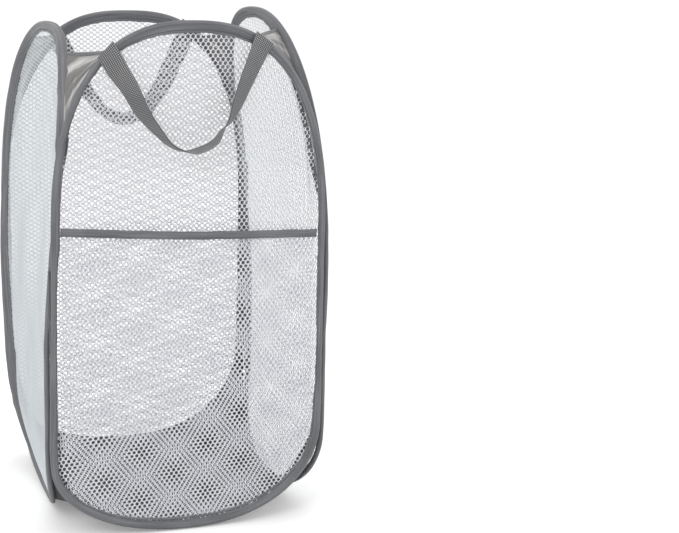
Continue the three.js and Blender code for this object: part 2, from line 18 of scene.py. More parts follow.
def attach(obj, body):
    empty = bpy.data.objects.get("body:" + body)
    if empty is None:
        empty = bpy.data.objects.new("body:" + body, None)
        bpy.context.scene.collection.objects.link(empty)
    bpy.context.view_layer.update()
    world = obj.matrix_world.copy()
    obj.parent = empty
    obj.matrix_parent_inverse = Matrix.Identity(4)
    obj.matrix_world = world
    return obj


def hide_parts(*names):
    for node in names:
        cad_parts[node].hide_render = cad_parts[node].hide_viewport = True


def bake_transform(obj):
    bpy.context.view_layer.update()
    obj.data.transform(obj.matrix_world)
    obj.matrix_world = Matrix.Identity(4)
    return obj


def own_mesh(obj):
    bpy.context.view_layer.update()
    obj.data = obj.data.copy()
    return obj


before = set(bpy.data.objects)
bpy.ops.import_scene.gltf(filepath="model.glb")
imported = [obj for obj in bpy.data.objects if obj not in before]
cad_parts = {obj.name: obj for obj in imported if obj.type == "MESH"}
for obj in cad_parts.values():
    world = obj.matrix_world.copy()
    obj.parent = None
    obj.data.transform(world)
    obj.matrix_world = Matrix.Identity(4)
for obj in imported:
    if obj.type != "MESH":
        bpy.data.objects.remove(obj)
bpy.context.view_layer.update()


# %% [markdown]
# ## The four sides
#
# Every side is drawn once, as if it stood at the front: across to the right, out towards the viewer,
# and up. One function then hangs such a point on its own side. The hoops aren't flat: above the sewn
# corners they lean in or out and twist a little, because the handles and gussets pull on them, and
# that is what makes the real hamper look sprung rather than boxed. Holding the lean in one function
# means that wire, tape, net and stitches all follow it without being fitted to each other.

# %% Measure the sides
PLANE = 0.1688  # from the middle of the hamper to the middle of a hoop's tape
HALF = 0.1645  # half the width of a hoop
CORNER = 0.165  # from the middle of the hamper to a corner seam, along X and along Y
TOP_START, TOP_POWER, LOW_POWER = 0.357, 2.44, 2.12
LEAN_START, LOW_LEAN_START = 0.236, 0.12

# low is where the bottom curve meets the upright, at the left and at the right seen from outside
SIDES = {
    "front": dict(turns=0, height=0.610, low=(0.092, 0.125), lean=-0.015, twist=0.0, tuck=0.001),
    "right": dict(turns=1, height=0.621, low=(0.100, 0.100), lean=0.046, twist=0.016, tuck=0.028),
    "back": dict(turns=2, height=0.609, low=(0.142, 0.082), lean=0.011, twist=0.0, tuck=0.001),
    "left": dict(turns=3, height=0.600, low=(0.140, 0.140), lean=0.033, twist=0.014, tuck=0.024),
}
print("sides:", ", ".join(f"{name} {side['height'] * 1000:.0f} mm" for name, side in SIDES.items()))

# %% [markdown]
# ## Where the cloth pulls a hoop out of true
#
# A sewn hoop is never the plain curve that it was cut to. Its top is squarer at one end than at the
# other, its upright edges bow out between the seams, and its edge rolls in or out where a gusset or
# the floor cloth tugs at it. Such things follow no rule, so each is a short table of stops that is
# read off between its rows. Tables like these are easy to correct against the real thing, one row at
# a time, and a smooth step fades each of them out so that none leaves a kink.

# %% Note the pulls
# how square each half of a hoop's top is, at the left and at the right; 2 is an ellipse
TOP_POWERS = {"front": (2.44, 2.44), "right": (2.44, 2.8), "back": (2.44, 2.75), "left": (2.5, 2.2)}
# how much lower a hoop's top is at its right end than in the middle, seen from outside
DROPS = {"right": 0.014}
EYE = 0.3  # height of the middle of a hoop, from which directions round it are counted

# Each row is a direction round the hoop in degrees, seen from outside with the right at 0 and the
# top at 90, then how far the outer edge and the inner edge of the tape move in towards the middle of
# the hamper, in millimetres.
ROLLS = {
    "left": [
        (-180, -6.5, 0), (-158, -7.5, 1), (-145, -5.5, 2.5), (-137, -4.5, 4.5), (-126, 0, 13),
        (-119, 1, 16), (-112, 1.5, 16), (-104, -1.5, 8), (-95, -1, 2), (-80, 0, 0), (-30, 0, 0),
        (0, 1, 1), (25, 1.5, 1.5), (41, 3, 1), (50, 13.5, -2.5), (64, 13.5, -2.5), (74, 10, -1),
        (82, 5, 0), (92, 0, 0), (105, -2, 2), (118, -4.5, 2), (130, -5, 1.5), (142, -5, 1),
        (158, -4.5, 1), (180, -6.5, 0),
    ],
    "right": [
        (-180, 0, 0), (88, 0, 0), (102, 0, 8), (115, 0, 13), (137, 0, 11), (148, 0, 4), (160, 0, 0),
        (180, 0, 0),
    ],
}
ROLL_WIDTH = 0.0125  # over this much of the tape a roll goes from its outer to its inner value
ROLL_FADE = 0.05  # over this much of the net it dies out

# height, and how far an upright edge is pulled outwards in millimetres; 1 is the right edge
EDGE_PULLS = {
    ("front", -1): [
        (0.03, 0), (0.08, 2), (0.116, 3.6), (0.174, 2.3), (0.267, 0.2), (0.33, -0.5), (0.37, -0.8),
        (0.41, -0.5), (0.45, 0),
    ],
    ("back", 1): [
        (0.03, 0), (0.09, 2), (0.15, 5), (0.22, 7.5), (0.36, 7.5), (0.45, 6), (0.51, 4), (0.57, 0),
    ],
}
PULL_START, PULL_REACH = 0.09, 0.07  # an edge's pull begins this far from the middle and grows over this
print("stops:", sum(len(stops) for table in (ROLLS, EDGE_PULLS) for stops in table.values()))


# %% Hang a point on its side
def name_of(side):
    """What a side is called."""
    return list(SIDES)[side["turns"]]


def eased(share):
    """A smooth step from 0 to 1."""
    return share**2 * (3 - 2 * share)


def read_off(stops, at, column=1):
    """The value of a table of stops at some places along it, from millimetres to metres."""
    stops = np.array(stops, float)
    return np.interp(at, stops[:, 0], stops[:, column]) / 1000


def direction(across, z):
    """The direction of a point from the middle of its hoop, in degrees."""
    return np.degrees(np.arctan2(z - EYE, across))


def depth_in(side, across, z):
    """About how far inside the hoop's outline a point lies."""
    beside = np.clip(np.abs(across), 0.0001, None)
    low = np.where(across > 0, side["low"][1], side["low"][0])
    top, bottom = z > TOP_START, z < low
    level = np.where(top, TOP_START, np.where(bottom, low, z))
    reach = np.where(top, side["height"] - TOP_START, low)
    power = np.where(top, TOP_POWER, LOW_POWER)
    rise = np.abs(z - level)
    share = ((beside / HALF) ** power + (rise / reach) ** power) ** (1 / power)
    return (1 / share - 1) * np.hypot(beside, rise)


def rolled(side, across, z):
    """How far the rolled edge of a side moves in at a point."""
    if name_of(side) not in ROLLS:
        return 0 * z
    stops, toward = ROLLS[name_of(side)], direction(across, z)
    outer, inner = read_off(stops, toward, 1), read_off(stops, toward, 2)
    depth = np.clip(depth_in(side, across, z), -0.002, None)
    on_tape = outer + (inner - outer) * np.clip(depth / ROLL_WIDTH, None, 1)
    on_net = inner * (1 - eased(np.clip((depth - ROLL_WIDTH) / ROLL_FADE, 0, 1)))
    return np.where(depth < ROLL_WIDTH, on_tape, on_net)


def leaning(side, across, z):
    """How far a point of a side stands in towards the middle of the hamper."""
    rise = np.clip((z - LEAN_START) / (side["height"] - LEAN_START), 0, None)
    fall = np.clip((LOW_LEAN_START - z) / LOW_LEAN_START, 0, None)
    lean = side["lean"] * rise**2 + side["twist"] * rise * across / HALF + side["tuck"] * fall**2
    return lean + rolled(side, across, z)


def hang(side, across, out, z):
    """Points drawn flat, placed on their side of the hamper."""
    across, out, z = np.broadcast_arrays(*(np.asarray(v, float) for v in (across, out, z)))
    deep = PLANE + out - leaning(side, across, z)
    for (name, hand), stops in EDGE_PULLS.items():
        if SIDES[name] is side:
            near = np.clip((hand * across - PULL_START) / PULL_REACH, 0, 1)
            across = across + hand * eased(near) * read_off(stops, z)
    turn = side["turns"] * math.pi / 2
    x = across * math.cos(turn) + deep * math.sin(turn)
    y = across * math.sin(turn) - deep * math.cos(turn)
    return np.stack([x, y, z], axis=-1)


top_of_left = hang(SIDES["left"], 0, 0, SIDES["left"]["height"])
print("the left hoop's top leans in by", round(PLANE + float(top_of_left[0]), 3), "m")

# %% Draw a hoop's outline
def spaced(points, count, loop=False):
    """The same line with its points the same distance apart."""
    line = np.vstack([points, points[:1]]) if loop else points
    along = np.r_[0, np.cumsum(np.linalg.norm(np.diff(line, axis=0), axis=1))]
    at = np.linspace(0, along[-1], count + 1)[:-1] if loop else np.linspace(0, along[-1], count)
    return np.stack([np.interp(at, along, values) for values in line.T], axis=1)


def outline(side, count, inset=0.0):
    """Evenly spaced points (across, height) round a hoop, and the direction inwards at each."""
    angle = np.linspace(0, 2 * math.pi, 4001)[:-1] - math.pi / 2
    c, s = np.cos(angle), np.sin(angle)
    top = s >= 0
    left_power, right_power = TOP_POWERS[name_of(side)]
    power = np.where(top, np.where(c > 0, right_power, left_power), LOW_POWER)
    across = HALF * np.sign(c) * np.abs(c) ** (2 / power)
    rise = np.abs(s) ** (2 / power)
    low = np.where(c > 0, side["low"][1], side["low"][0])
    z = np.where(top, TOP_START + (side["height"] - TOP_START) * rise, low * (1 - rise))
    drop = DROPS.get(name_of(side), 0) * np.clip(across / HALF, 0, 1) ** 1.5
    z = z - np.where(top, drop * np.clip(rise * 1.6, 0, 1) ** 2, 0)
    points = spaced(np.stack([across, z], axis=1), 3000, loop=True)
    inward = np.roll(points, -1, 0) - np.roll(points, 1, 0)
    inward = np.stack([-inward[:, 1], inward[:, 0]], axis=1)
    smooth = np.ones(31) / 31
    inward = np.array([np.convolve(np.r_[v[-15:], v, v[:15]], smooth, "valid") for v in inward.T]).T
    inward /= np.linalg.norm(inward, axis=1)[:, None]
    pick = np.round(np.arange(count) * len(points) / count).astype(int)
    return points[pick] + inset * inward[pick], inward[pick]


front_outline, _ = outline(SIDES["front"], 400)
around = np.linalg.norm(front_outline - np.roll(front_outline, 1, 0), axis=1).sum()
print(f"once round the front hoop is {around:.3f} m of wire and tape")

# %% Sweep a section along rings of points
def swept(name, rings, material, loop=True):
    """A mesh through rings of points, with a UV map in metres: along the piece, and round it."""
    rings = np.asarray(rings, float)
    count, size = rings.shape[:2]
    vertices = rings.reshape(-1, 3)
    step = np.linalg.norm(np.diff(np.vstack([rings, rings[:1]]).mean(axis=1), axis=0), axis=1)
    along = np.r_[0, np.cumsum(step)]
    edge = np.linalg.norm(np.diff(np.hstack([rings, rings[:, :1]]), axis=1), axis=2).mean(axis=0)
    across = np.r_[0, np.cumsum(edge)]
    faces, uv = [], []
    for i in range(count if loop else count - 1):
        for j in range(size):
            k, n = (j + 1) % size, (i + 1) % count
            faces.append((i * size + j, n * size + j, n * size + k, i * size + k))
            u0, u1, v0, v1 = along[i], along[i + 1], across[j], across[j + 1]
            uv += [(u0, v0), (u1, v0), (u1, v1), (u0, v1)]
    if not loop:
        for ring, turned in ((0, False), (count - 1, True)):
            cap = [ring * size + j for j in range(size)]
            faces.append(cap[::-1] if turned else cap)
            uv += [(along[ring], across[j]) for j in (range(size)[::-1] if turned else range(size))]
    return piece(name, vertices, faces, material, uv)


def in_scene(name, data):
    """A new object at the origin, in the scene."""
    obj = bpy.data.objects.new(name, data)
    bpy.context.scene.collection.objects.link(obj)
    return obj


def piece(name, vertices, faces, material, uv=None):
    """A mesh object at the origin, smooth, facing outwards."""
    mesh = bpy.data.meshes.new(name)
    mesh.from_pydata([tuple(v) for v in vertices], [], [tuple(f) for f in faces])
    if uv is not None:
        layer = mesh.uv_layers.new(name="UVMap")
        layer.data.foreach_set("uv", np.asarray(uv, float).ravel())
    mesh.validate()
    mesh.update()
    if signed_volume(mesh) < 0:
        mesh.flip_normals()
    mesh.shade_smooth()
    mesh.materials.append(material)
    return in_scene(name, mesh)


def signed_volume(mesh):
    """Positive where the faces of a closed mesh point outwards."""
    mesh.calc_loop_triangles()
    corners = np.array([t.vertices for t in mesh.loop_triangles])
    co = np.array([v.co for v in mesh.vertices])
    a, b, c = co[corners[:, 0]], co[corners[:, 1]], co[corners[:, 2]]
    return float((a * np.cross(b, c)).sum()) / 6


print("helpers: swept, in_scene, piece, signed_volume")

# %% [markdown]
# ## Finishes
#
# All the gray parts are polyester, yet each takes the light in its own way: the binding is a thin
# woven tape with a slight shine, the handles are coarse speckled webbing, and the gussets and floor
# are plain weave cloth. The net is white knitted thread. A weave is two crossing sets of ribs, so
# each cloth is built from two wave patterns on a UV map that is in metres, which keeps the weave the
# same size on every piece. Larger noise adds the uneven dye and the wear of handling, and the tape
# has long light and dark streaks too, from noise stretched along its UV map, which paint its sheen
# into its colour along with uneven tone. Each of these is a colour that the one before is multiplied
# by, so one small helper joins them all.

# %% Helpers for node materials
def finish(name, colour, roughness, sheen=0.0):
    """A new material and its shader, with the plain values on the shader's own sockets."""
    material = bpy.data.materials.new(name)
    material.use_nodes = True
    shader = material.node_tree.nodes["Principled BSDF"]
    shader.inputs["Base Color"].default_value = (*colour, 1)
    shader.inputs["Roughness"].default_value = roughness
    shader.inputs["Sheen Weight"].default_value = sheen
    return material, shader


def node(material, kind, **inputs):
    """A new node in a material, with its plain values."""
    made = material.node_tree.nodes.new(kind)
    for socket, value in inputs.items():
        made.inputs[socket.replace("_", " ")].default_value = value
    return made


def join(material, source, target):
    """A link between two sockets of a material."""
    material.node_tree.links.new(source, target)


def add(tree, kind, **settings):
    """A new node in any node tree, with its settings."""
    made = tree.nodes.new(kind)
    for key, value in settings.items():
        setattr(made, key, value)
    return made


def calc(tree, operation, a, b=None, c=None):
    """A Math node on sockets or plain numbers."""
    made = add(tree, "ShaderNodeMath", operation=operation)
    for socket, value in zip(made.inputs, (a, b, c)):
        if isinstance(value, bpy.types.NodeSocket):
            tree.links.new(value, socket)
        elif value is not None:
            socket.default_value = value
    return made.outputs[0]


def ramp(material, factor, stops):
    """Colours along a factor, as (position, colour) stops."""
    made = node(material, "ShaderNodeValToRGB")
    elements = made.color_ramp.elements
    for element, (position, colour) in zip(elements, (stops[0], stops[-1])):
        element.position, element.color = position, (*colour, 1)
    for position, colour in stops[1:-1]:
        elements.new(position).color = (*colour, 1)
    join(material, factor, made.inputs["Fac"])
    return made.outputs["Color"]


def weave(material, vector, along, across):
    """Two crossing sets of ribs, as a height from 0 to 1. The numbers are ribs in a metre."""
    heights = []
    for axis, number in (("X", along), ("Y", across)):
        wave = node(material, "ShaderNodeTexWave", Scale=number * math.pi / 10, Distortion=0.4, Detail=1.0)
        wave.bands_direction = axis
        wave.inputs["Detail Scale"].default_value = 2.0
        join(material, vector, wave.inputs["Vector"])
        heights.append(wave.outputs["Fac"])
    return calc(material.node_tree, "MULTIPLY", *heights)


def multiplied(material, colour, shade):
    """A colour times a shade."""
    mixed = node(material, "ShaderNodeMix")
    mixed.data_type, mixed.blend_type = "RGBA", "MULTIPLY"
    mixed.inputs["Factor"].default_value = 1.0
    join(material, colour, mixed.inputs["A"])
    join(material, shade, mixed.inputs["B"])
    return mixed.outputs["Result"]


def grays(*stops):
    """Stops of a ramp, each a position and how light it is."""
    return [(position, (light,) * 3) for position, light in stops]


def bump(material, shader, height, strength, distance):
    """Relief from a height, in metres."""
    made = node(material, "ShaderNodeBump", Strength=strength, Distance=distance)
    join(material, height, made.inputs["Height"])
    join(material, made.outputs["Normal"], shader.inputs["Normal"])


def painted_sheen_streaks(material, place, colour):
    """Long light and dark streaking along a tape, over a colour: painted sheen of the shiny tape, mixed
    with uneven tone.
    """
    stretch = node(material, "ShaderNodeMapping", Scale=(14, 420, 1))
    join(material, place.outputs["UV"], stretch.inputs["Vector"])
    sheen_noise = node(material, "ShaderNodeTexNoise", Scale=1.0, Detail=3.0)
    join(material, stretch.outputs["Vector"], sheen_noise.inputs["Vector"])
    shade = ramp(material, sheen_noise.outputs["Fac"], grays((0.32, 0.74), (0.5, 0.96), (0.68, 1.28)))
    return multiplied(material, colour, shade)


def painted_fold_shading(material, stops):
    """Paints shade into a finish where its cloth's folds sink and highlights where they stand up, by how
    far the folds stand up, which each sheet carries along.
    """
    colour = material.node_tree.nodes["Principled BSDF"].inputs["Base Color"]
    standing = node(material, "ShaderNodeAttribute")
    standing.attribute_name = "crease"
    shade = ramp(material, standing.outputs["Fac"], stops)
    join(material, multiplied(material, colour.links[0].from_socket, shade), colour)


def cloth(name, colour, dark, roughness, ribs, relief, sheen=0.1, mottle=0.12, by_uv=True, painted_sheen=False):
    """A woven cloth: ribs in a metre (along, across), their relief in metres, an uneven dye, and painted
    sheen streaking along a tape if asked.
    """
    material, shader = finish(name, colour, roughness, sheen)
    place = node(material, "ShaderNodeTexCoord")
    vector = place.outputs["UV" if by_uv else "Object"]
    height = weave(material, vector, *ribs)
    threads = ramp(material, height, [(0.0, dark), (0.7, colour)])
    dye = node(material, "ShaderNodeTexNoise", Scale=18.0, Detail=4.0, Roughness=0.6)
    join(material, place.outputs["Object"], dye.inputs["Vector"])
    shade = ramp(material, dye.outputs["Fac"], grays((0.3, 1 - mottle), (0.7, 1 + mottle)))
    shown = multiplied(material, threads, shade)
    # painted sheen along the tape, mixed with uneven tone
    if painted_sheen:
        shown = painted_sheen_streaks(material, place, shown)
    join(material, shown, shader.inputs["Base Color"])
    bump(material, shader, height, 0.7, relief)
    return material


print("node helpers: finish, node, join, add, calc, ramp, weave, multiplied, bump, creased, cloth")

# %% Mix the finishes
# the binding's streaking is painted sheen, mixed with uneven tone
tape_gray = cloth(
    "binding_tape", (0.175, 0.178, 0.188), (0.115, 0.118, 0.127), roughness=0.45,
    ribs=(1500, 1500), relief=0.0002, sheen=0.15, painted_sheen=True,
)
webbing_gray = cloth(
    "webbing", (0.42, 0.422, 0.43), (0.03, 0.031, 0.033), roughness=0.75, ribs=(520, 430), relief=0.0006,
)
satin_gray = cloth(
    "satin", (0.50, 0.49, 0.475), (0.38, 0.372, 0.36), roughness=0.34, ribs=(1800, 1800), relief=0.0001,
)
# painted shade in the satin's fold hollows and painted highlights on their ridges, from the fold heights
# that each sheet keeps
painted_fold_shading(satin_gray, grays((0.0, 0.35), (0.25, 0.75), (0.6, 1.0), (1.0, 1.3)))
floor_gray = cloth(
    "floor_cloth", (0.065, 0.066, 0.07), (0.04, 0.041, 0.044), roughness=0.7, ribs=(900, 900),
    relief=0.0003,
)
# the thread is darker than its tape partly as painted shade, standing in for the shadow in the stitch
# groove
thread_with_groove_shade = cloth(
    "sewing_thread_groove_shaded", (0.09, 0.092, 0.1), (0.05, 0.052, 0.057), roughness=0.6, ribs=(3000, 3000),
    relief=0.0001, sheen=0.0, by_uv=False,
)
net_white = cloth(
    "knitted_net", (0.79, 0.795, 0.835), (0.71, 0.715, 0.755), roughness=0.55, ribs=(2500, 2500),
    relief=0.0001, mottle=0.03, by_uv=False,
)
# the side panels take a darker, cooler copy of the same net's colour: painted shade for the way the light
# falls on them
side_net_shaded_copy = cloth(
    "knitted_net_shaded_for_sides", (0.73, 0.775, 0.80), (0.66, 0.705, 0.73), roughness=0.55, ribs=(2500, 2500),
    relief=0.0001, mottle=0.03, by_uv=False,
)
steel, steel_shader = finish("spring_steel", (0.55, 0.56, 0.58), 0.3)
steel_shader.inputs["Metallic"].default_value = 1.0
print("finishes:", ", ".join(m.name for m in bpy.data.materials if m.use_nodes))

# %% [markdown]
# ## The wires and their sleeves
#
# Each hoop is one length of spring wire whose ends meet in a crimped sleeve at the bottom. Both are
# out of sight inside the binding, but they are what the cloth is stretched over, so they are swept
# along the same leaning outline as everything else.

# %% Bend the wires
WIRE_DEPTH = 0.0035  # from the outer edge of the tape to the middle of the wire
WIRE_RADIUS, SLEEVE_RADIUS = 0.00125, 0.0019
WIRE_RINGS, SLEEVE_REACH = 360, 3  # the sleeve covers this many rings of the wire to each side


def ring_section(radius, count):
    """A round section about the middle of the wire."""
    angle = np.linspace(0, 2 * math.pi, count, endpoint=False)
    return np.stack([WIRE_DEPTH + radius * np.cos(angle), radius * np.sin(angle)], axis=1)


def follow(side, points, inward, section):
    """Rings of a section along an outline: its first value is inwards, its second outwards."""
    at = points[:, None, :] + inward[:, None, :] * section[None, :, :1]
    return hang(side, at[..., 0], np.broadcast_to(section[None, :, 1], at.shape[:2]), at[..., 1])


for name, side in SIDES.items():
    points, inward = outline(side, WIRE_RINGS)
    rings = follow(side, points, inward, ring_section(WIRE_RADIUS, 8))
    wire = swept(name + "_spring_wire", rings, steel)
    near = np.arange(-SLEEVE_REACH, SLEEVE_REACH + 1)
    rings = follow(side, points[near], inward[near], ring_section(SLEEVE_RADIUS, 12))
    sleeve = swept(name + "_wire_sleeve", rings, steel, loop=False)
    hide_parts(name + "_hoop_wire")
    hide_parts(name + "_wire_ferrule")
    for part in (wire, sleeve):
        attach(part, name)
print("each wire is", round(around, 3), "m long")

# %% [markdown]
# ## The binding tape
#
# The tape is folded over the wire and the edge of the net and sewn through a few millimetres from
# its inner edge. Its section is therefore a round bead with two flaps held together. A curve with a
# bevel object could sweep that section, but tape on a curve is longer outside than inside, so it
# puckers, and that needs a section that changes along the way. So the rings are computed: slow waves
# swell the bead and lift the flaps, by fixed amounts that come out the same on each run. Where the
# tape turns away round the wire, less of it is in sight, so its width is a table of stops as well.

# %% Fold the tape
TAPE_WIDTH, BEAD_DEPTH = 0.0145, 0.0059
STITCH_DEPTH = 0.0112
TAPE_FACE = 0.0008  # from the middle of the tape to its face, along the stitching
TAPE_RINGS = 420
POCKET_LAYER = 0.0009  # how much thicker the front tape is, which takes in the pocket's net too
FLAP_LIFT, EDGE_WANDER, BEAD_SWELL = 0.00045, 0.0005, 0.07  # the last is a share of the thickness
ANY_PHASE = 6.28  # about a whole turn, so that a wave may start anywhere

half_section = np.array([
    (0.0, 0.0), (0.25, 1.2), (0.95, 2.25), (2.1, 3.0), (3.5, 3.3), (4.7, 3.15), (5.9, 2.7),
    (6.9, 2.15), (8.2, 1.8), (9.6, 1.6), (10.5, 1.4), (10.95, 0.75), (11.45, 0.75), (11.85, 1.25),
    (13.2, 1.3), (14.1, 1.05), (14.5, 0.5),
]) / 1000
tape_section = np.vstack([half_section, half_section[:0:-1] * [1, -1]])

# visible width of the tape in millimetres, by direction round the hoop in degrees
TAPE_WIDTHS = {
    "front": [
        (-180, 7.2), (-165, 6.9), (-140, 8.8), (-128, 9.3), (-112, 12), (-98, 15.5), (-90, 16),
        (-75, 15.5), (-60, 14), (-48, 11.5), (-38, 8), (-25, 7.2), (-8, 8.2), (0, 8.4), (30, 8.6),
        (50, 9), (62, 9.2), (70, 10.5), (80, 13.6), (90, 14.5), (100, 13.8), (108, 10.5), (113, 8),
        (120, 7.2), (130, 8), (142, 10.6), (161, 10.4), (172, 8), (180, 7.2),
    ],
    "left": [
        (-180, 12.5), (-120, 13.5), (-95, 10), (-80, 8), (-40, 7), (20, 7), (38, 9), (50, 13.5),
        (62, 13.5), (90, 13), (150, 12.5), (180, 12.5),
    ],
    "right": [
        (-180, 8.5), (-130, 9), (-90, 12), (-40, 12.5), (90, 14), (110, 15), (137, 15), (155, 9),
        (180, 8.5),
    ],
    "back": [(-180, 11), (-90, 14), (-50, 8), (40, 8), (60, 13.5), (90, 15), (120, 13.5), (180, 11)],
}


def tape_width(side, points):
    """The tape's width at each point of its outer edge."""
    return read_off(TAPE_WIDTHS[name_of(side)], direction(points[:, 0], points[:, 1]))


def into_tape(depth, width):
    """A depth into the full tape, where only this width of it is in sight."""
    flap = (depth - BEAD_DEPTH) * (width - BEAD_DEPTH) / (TAPE_WIDTH - BEAD_DEPTH)
    return np.where(depth > BEAD_DEPTH, BEAD_DEPTH + flap, depth)


def waves(count, seed, lengths):
    """Slow waves round a hoop, about -1 to 1. Lengths are in waves a turn."""
    rng = np.random.default_rng(seed)
    turn = np.linspace(0, 2 * math.pi, count, endpoint=False)
    total = sum(np.sin(n * turn + rng.uniform(0, ANY_PHASE)) / len(lengths) ** 0.5 for n in lengths)
    return total / 1.5


def pucker(seed):
    """How the tape of one hoop swells, lifts its flaps and wanders at its edge, ring by ring."""
    lengths = ((11, 17, 29, 41), (23, 37, 53, 71), (13, 31, 47, 83))
    return [waves(TAPE_RINGS, seed + i, lengths[i]) for i in range(3)]


def folded_tape(side, seed, layer):
    """Rings of the folded and puckered tape round a hoop."""
    points, inward = outline(side, TAPE_RINGS)
    swell, flap, edge = (wave[:, None] for wave in pucker(seed))
    into, face = tape_section.T[:, None]
    past = np.clip((into - BEAD_DEPTH) / (TAPE_WIDTH - BEAD_DEPTH), 0, 1)
    depth = into_tape(into, tape_width(side, points)[:, None]) + EDGE_WANDER * edge * past
    out = face * (1 + BEAD_SWELL * swell) + layer * (face > 0) * past + FLAP_LIFT * flap * past
    at = points[:, None, :] + inward[:, None, :] * depth[..., None]
    return hang(side, at[..., 0], out, at[..., 1])


tapes = {}
seeds = {name: 10 * i for i, name in enumerate(SIDES)}
layers = {name: POCKET_LAYER if name == "front" else 0.0 for name in SIDES}
for name, side in SIDES.items():
    tapes[name] = swept(name + "_binding_tape", folded_tape(side, seeds[name], layers[name]), tape_gray)
    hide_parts(name + "_binding")
    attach(tapes[name], name)
print("each tape has", len(tapes["front"].data.polygons), "faces")

# %% [markdown]
# ## Stitches
#
# A lockstitch shows as a row of short threads with small dents between them. Each row is the same
# small bead of thread again and again along a line, which is exactly what instancing on a curve is
# for. One Geometry Nodes tree makes every row on the hamper: it turns a line of edges into a curve,
# spaces points along it, puts a stretched low ball at each, and turns it along the line.

# %% Helpers for node trees
def new_tree(name, sockets):
    """A Geometry Nodes tree with named inputs, their identifiers, and its two end nodes."""
    tree = bpy.data.node_groups.new(name, "GeometryNodeTree")
    tree.interface.new_socket("Geometry", in_out="INPUT", socket_type="NodeSocketGeometry")
    ids = {}
    for label, kind, default in sockets:
        socket = tree.interface.new_socket(label, in_out="INPUT", socket_type=kind)
        if default is not None:
            socket.default_value = default
        ids[label] = socket.identifier
    tree.interface.new_socket("Geometry", in_out="OUTPUT", socket_type="NodeSocketGeometry")
    return tree, ids, tree.nodes.new("NodeGroupInput"), tree.nodes.new("NodeGroupOutput")


def wire_up(tree, *pairs):
    """Links between pairs of sockets."""
    for source, target in pairs:
        tree.links.new(source, target)


print("tree helpers: new_tree, wire_up")

# %% Build the stitching tree
stitching, stitch_ids, asked, sewn_rows = new_tree("stitching", [
    ("Stitch Pitch", "NodeSocketFloat", 0.0035),
    ("Stitch Length", "NodeSocketFloat", 0.0028),
    ("Thread Thickness", "NodeSocketFloat", 0.0006),
    ("Thread", "NodeSocketMaterial", None),
])
to_curve = add(stitching, "GeometryNodeMeshToCurve")
spread = add(stitching, "GeometryNodeResampleCurve", mode="LENGTH")
bead = add(stitching, "GeometryNodeMeshIcoSphere")
bead.inputs["Radius"].default_value = 0.5
bead.inputs["Subdivisions"].default_value = 1
BEAD_FACES = 20
tangent = add(stitching, "GeometryNodeInputTangent")
aim = add(stitching, "FunctionNodeAlignRotationToVector", axis="X")
stitch_size = add(stitching, "ShaderNodeCombineXYZ")
put = add(stitching, "GeometryNodeInstanceOnPoints")
real = add(stitching, "GeometryNodeRealizeInstances")
smooth = add(stitching, "GeometryNodeSetShadeSmooth")
dress = add(stitching, "GeometryNodeSetMaterial")
wire_up(
    stitching,
    (asked.outputs["Geometry"], to_curve.inputs["Mesh"]),
    (to_curve.outputs["Curve"], spread.inputs["Curve"]),
    (asked.outputs["Stitch Pitch"], spread.inputs["Length"]),
    (spread.outputs["Curve"], put.inputs["Points"]),
    (bead.outputs["Mesh"], put.inputs["Instance"]),
    (tangent.outputs["Tangent"], aim.inputs["Vector"]),
    (aim.outputs["Rotation"], put.inputs["Rotation"]),
    (asked.outputs["Stitch Length"], stitch_size.inputs["X"]),
    (asked.outputs["Thread Thickness"], stitch_size.inputs["Y"]),
    (asked.outputs["Thread Thickness"], stitch_size.inputs["Z"]),
    (stitch_size.outputs["Vector"], put.inputs["Scale"]),
    (put.outputs["Instances"], real.inputs["Geometry"]),
    (real.outputs["Geometry"], smooth.inputs["Geometry"]),
    (smooth.outputs["Geometry"], dress.inputs["Geometry"]),
    (asked.outputs["Thread"], dress.inputs["Material"]),
    (dress.outputs["Geometry"], sewn_rows.inputs["Geometry"]),
)
print("stitching tree:", len(stitching.nodes), "nodes")


# %% Grow a piece from a tree
def grown(name, base, tree, ids, **inputs):
    """The plain mesh that a Geometry Nodes tree makes of a base mesh."""
    seed = in_scene(name + "_seed", base)
    modifier = seed.modifiers.new("grow", "NODES")
    modifier.node_group = tree
    for label, value in inputs.items():
        modifier[ids[label.replace("_", " ")]] = value
    graph = bpy.context.evaluated_depsgraph_get()
    mesh = bpy.data.meshes.new_from_object(seed.evaluated_get(graph))
    bpy.data.objects.remove(seed)
    mesh.name = name
    return in_scene(name, mesh)


def stitches(name, lines, pitch=0.0035, length=0.0028, thread=0.0006):
    """Rows of stitches along lines of points, as one piece. A line is (points, closed)."""
    vertices, edges = [], []
    for points, closed in lines:
        first = len(vertices)
        vertices += [tuple(p) for p in points]
        edges += [(first + i, first + i + 1) for i in range(len(points) - 1)]
        if closed:
            edges.append((first + len(points) - 1, first))
    base = bpy.data.meshes.new(name + "_line")
    base.from_pydata(vertices, edges, [])
    return grown(name, base, stitching, stitch_ids, Stitch_Pitch=pitch, Stitch_Length=length,
                 Thread_Thickness=thread, Thread=thread_with_groove_shade)


# %% Sew the tapes
flap_share = (STITCH_DEPTH - BEAD_DEPTH) / (TAPE_WIDTH - BEAD_DEPTH)
for name, side in SIDES.items():
    points, inward = outline(side, TAPE_RINGS)
    _, flap, edge = pucker(seeds[name])
    depth = into_tape(STITCH_DEPTH, tape_width(side, points)) + EDGE_WANDER * edge * flap_share
    at = points + inward * depth[:, None]
    lift = FLAP_LIFT * flap * flap_share
    faces = (TAPE_FACE + layers[name] * flap_share, -TAPE_FACE)
    seam_rows = [(hang(side, at[:, 0], lift + face, at[:, 1]), True) for face in faces]
    sewn = stitches(name + "_binding_stitches", seam_rows)
    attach(sewn, name)
print("stitches on the last tape:", len(sewn.data.polygons) // BEAD_FACES)

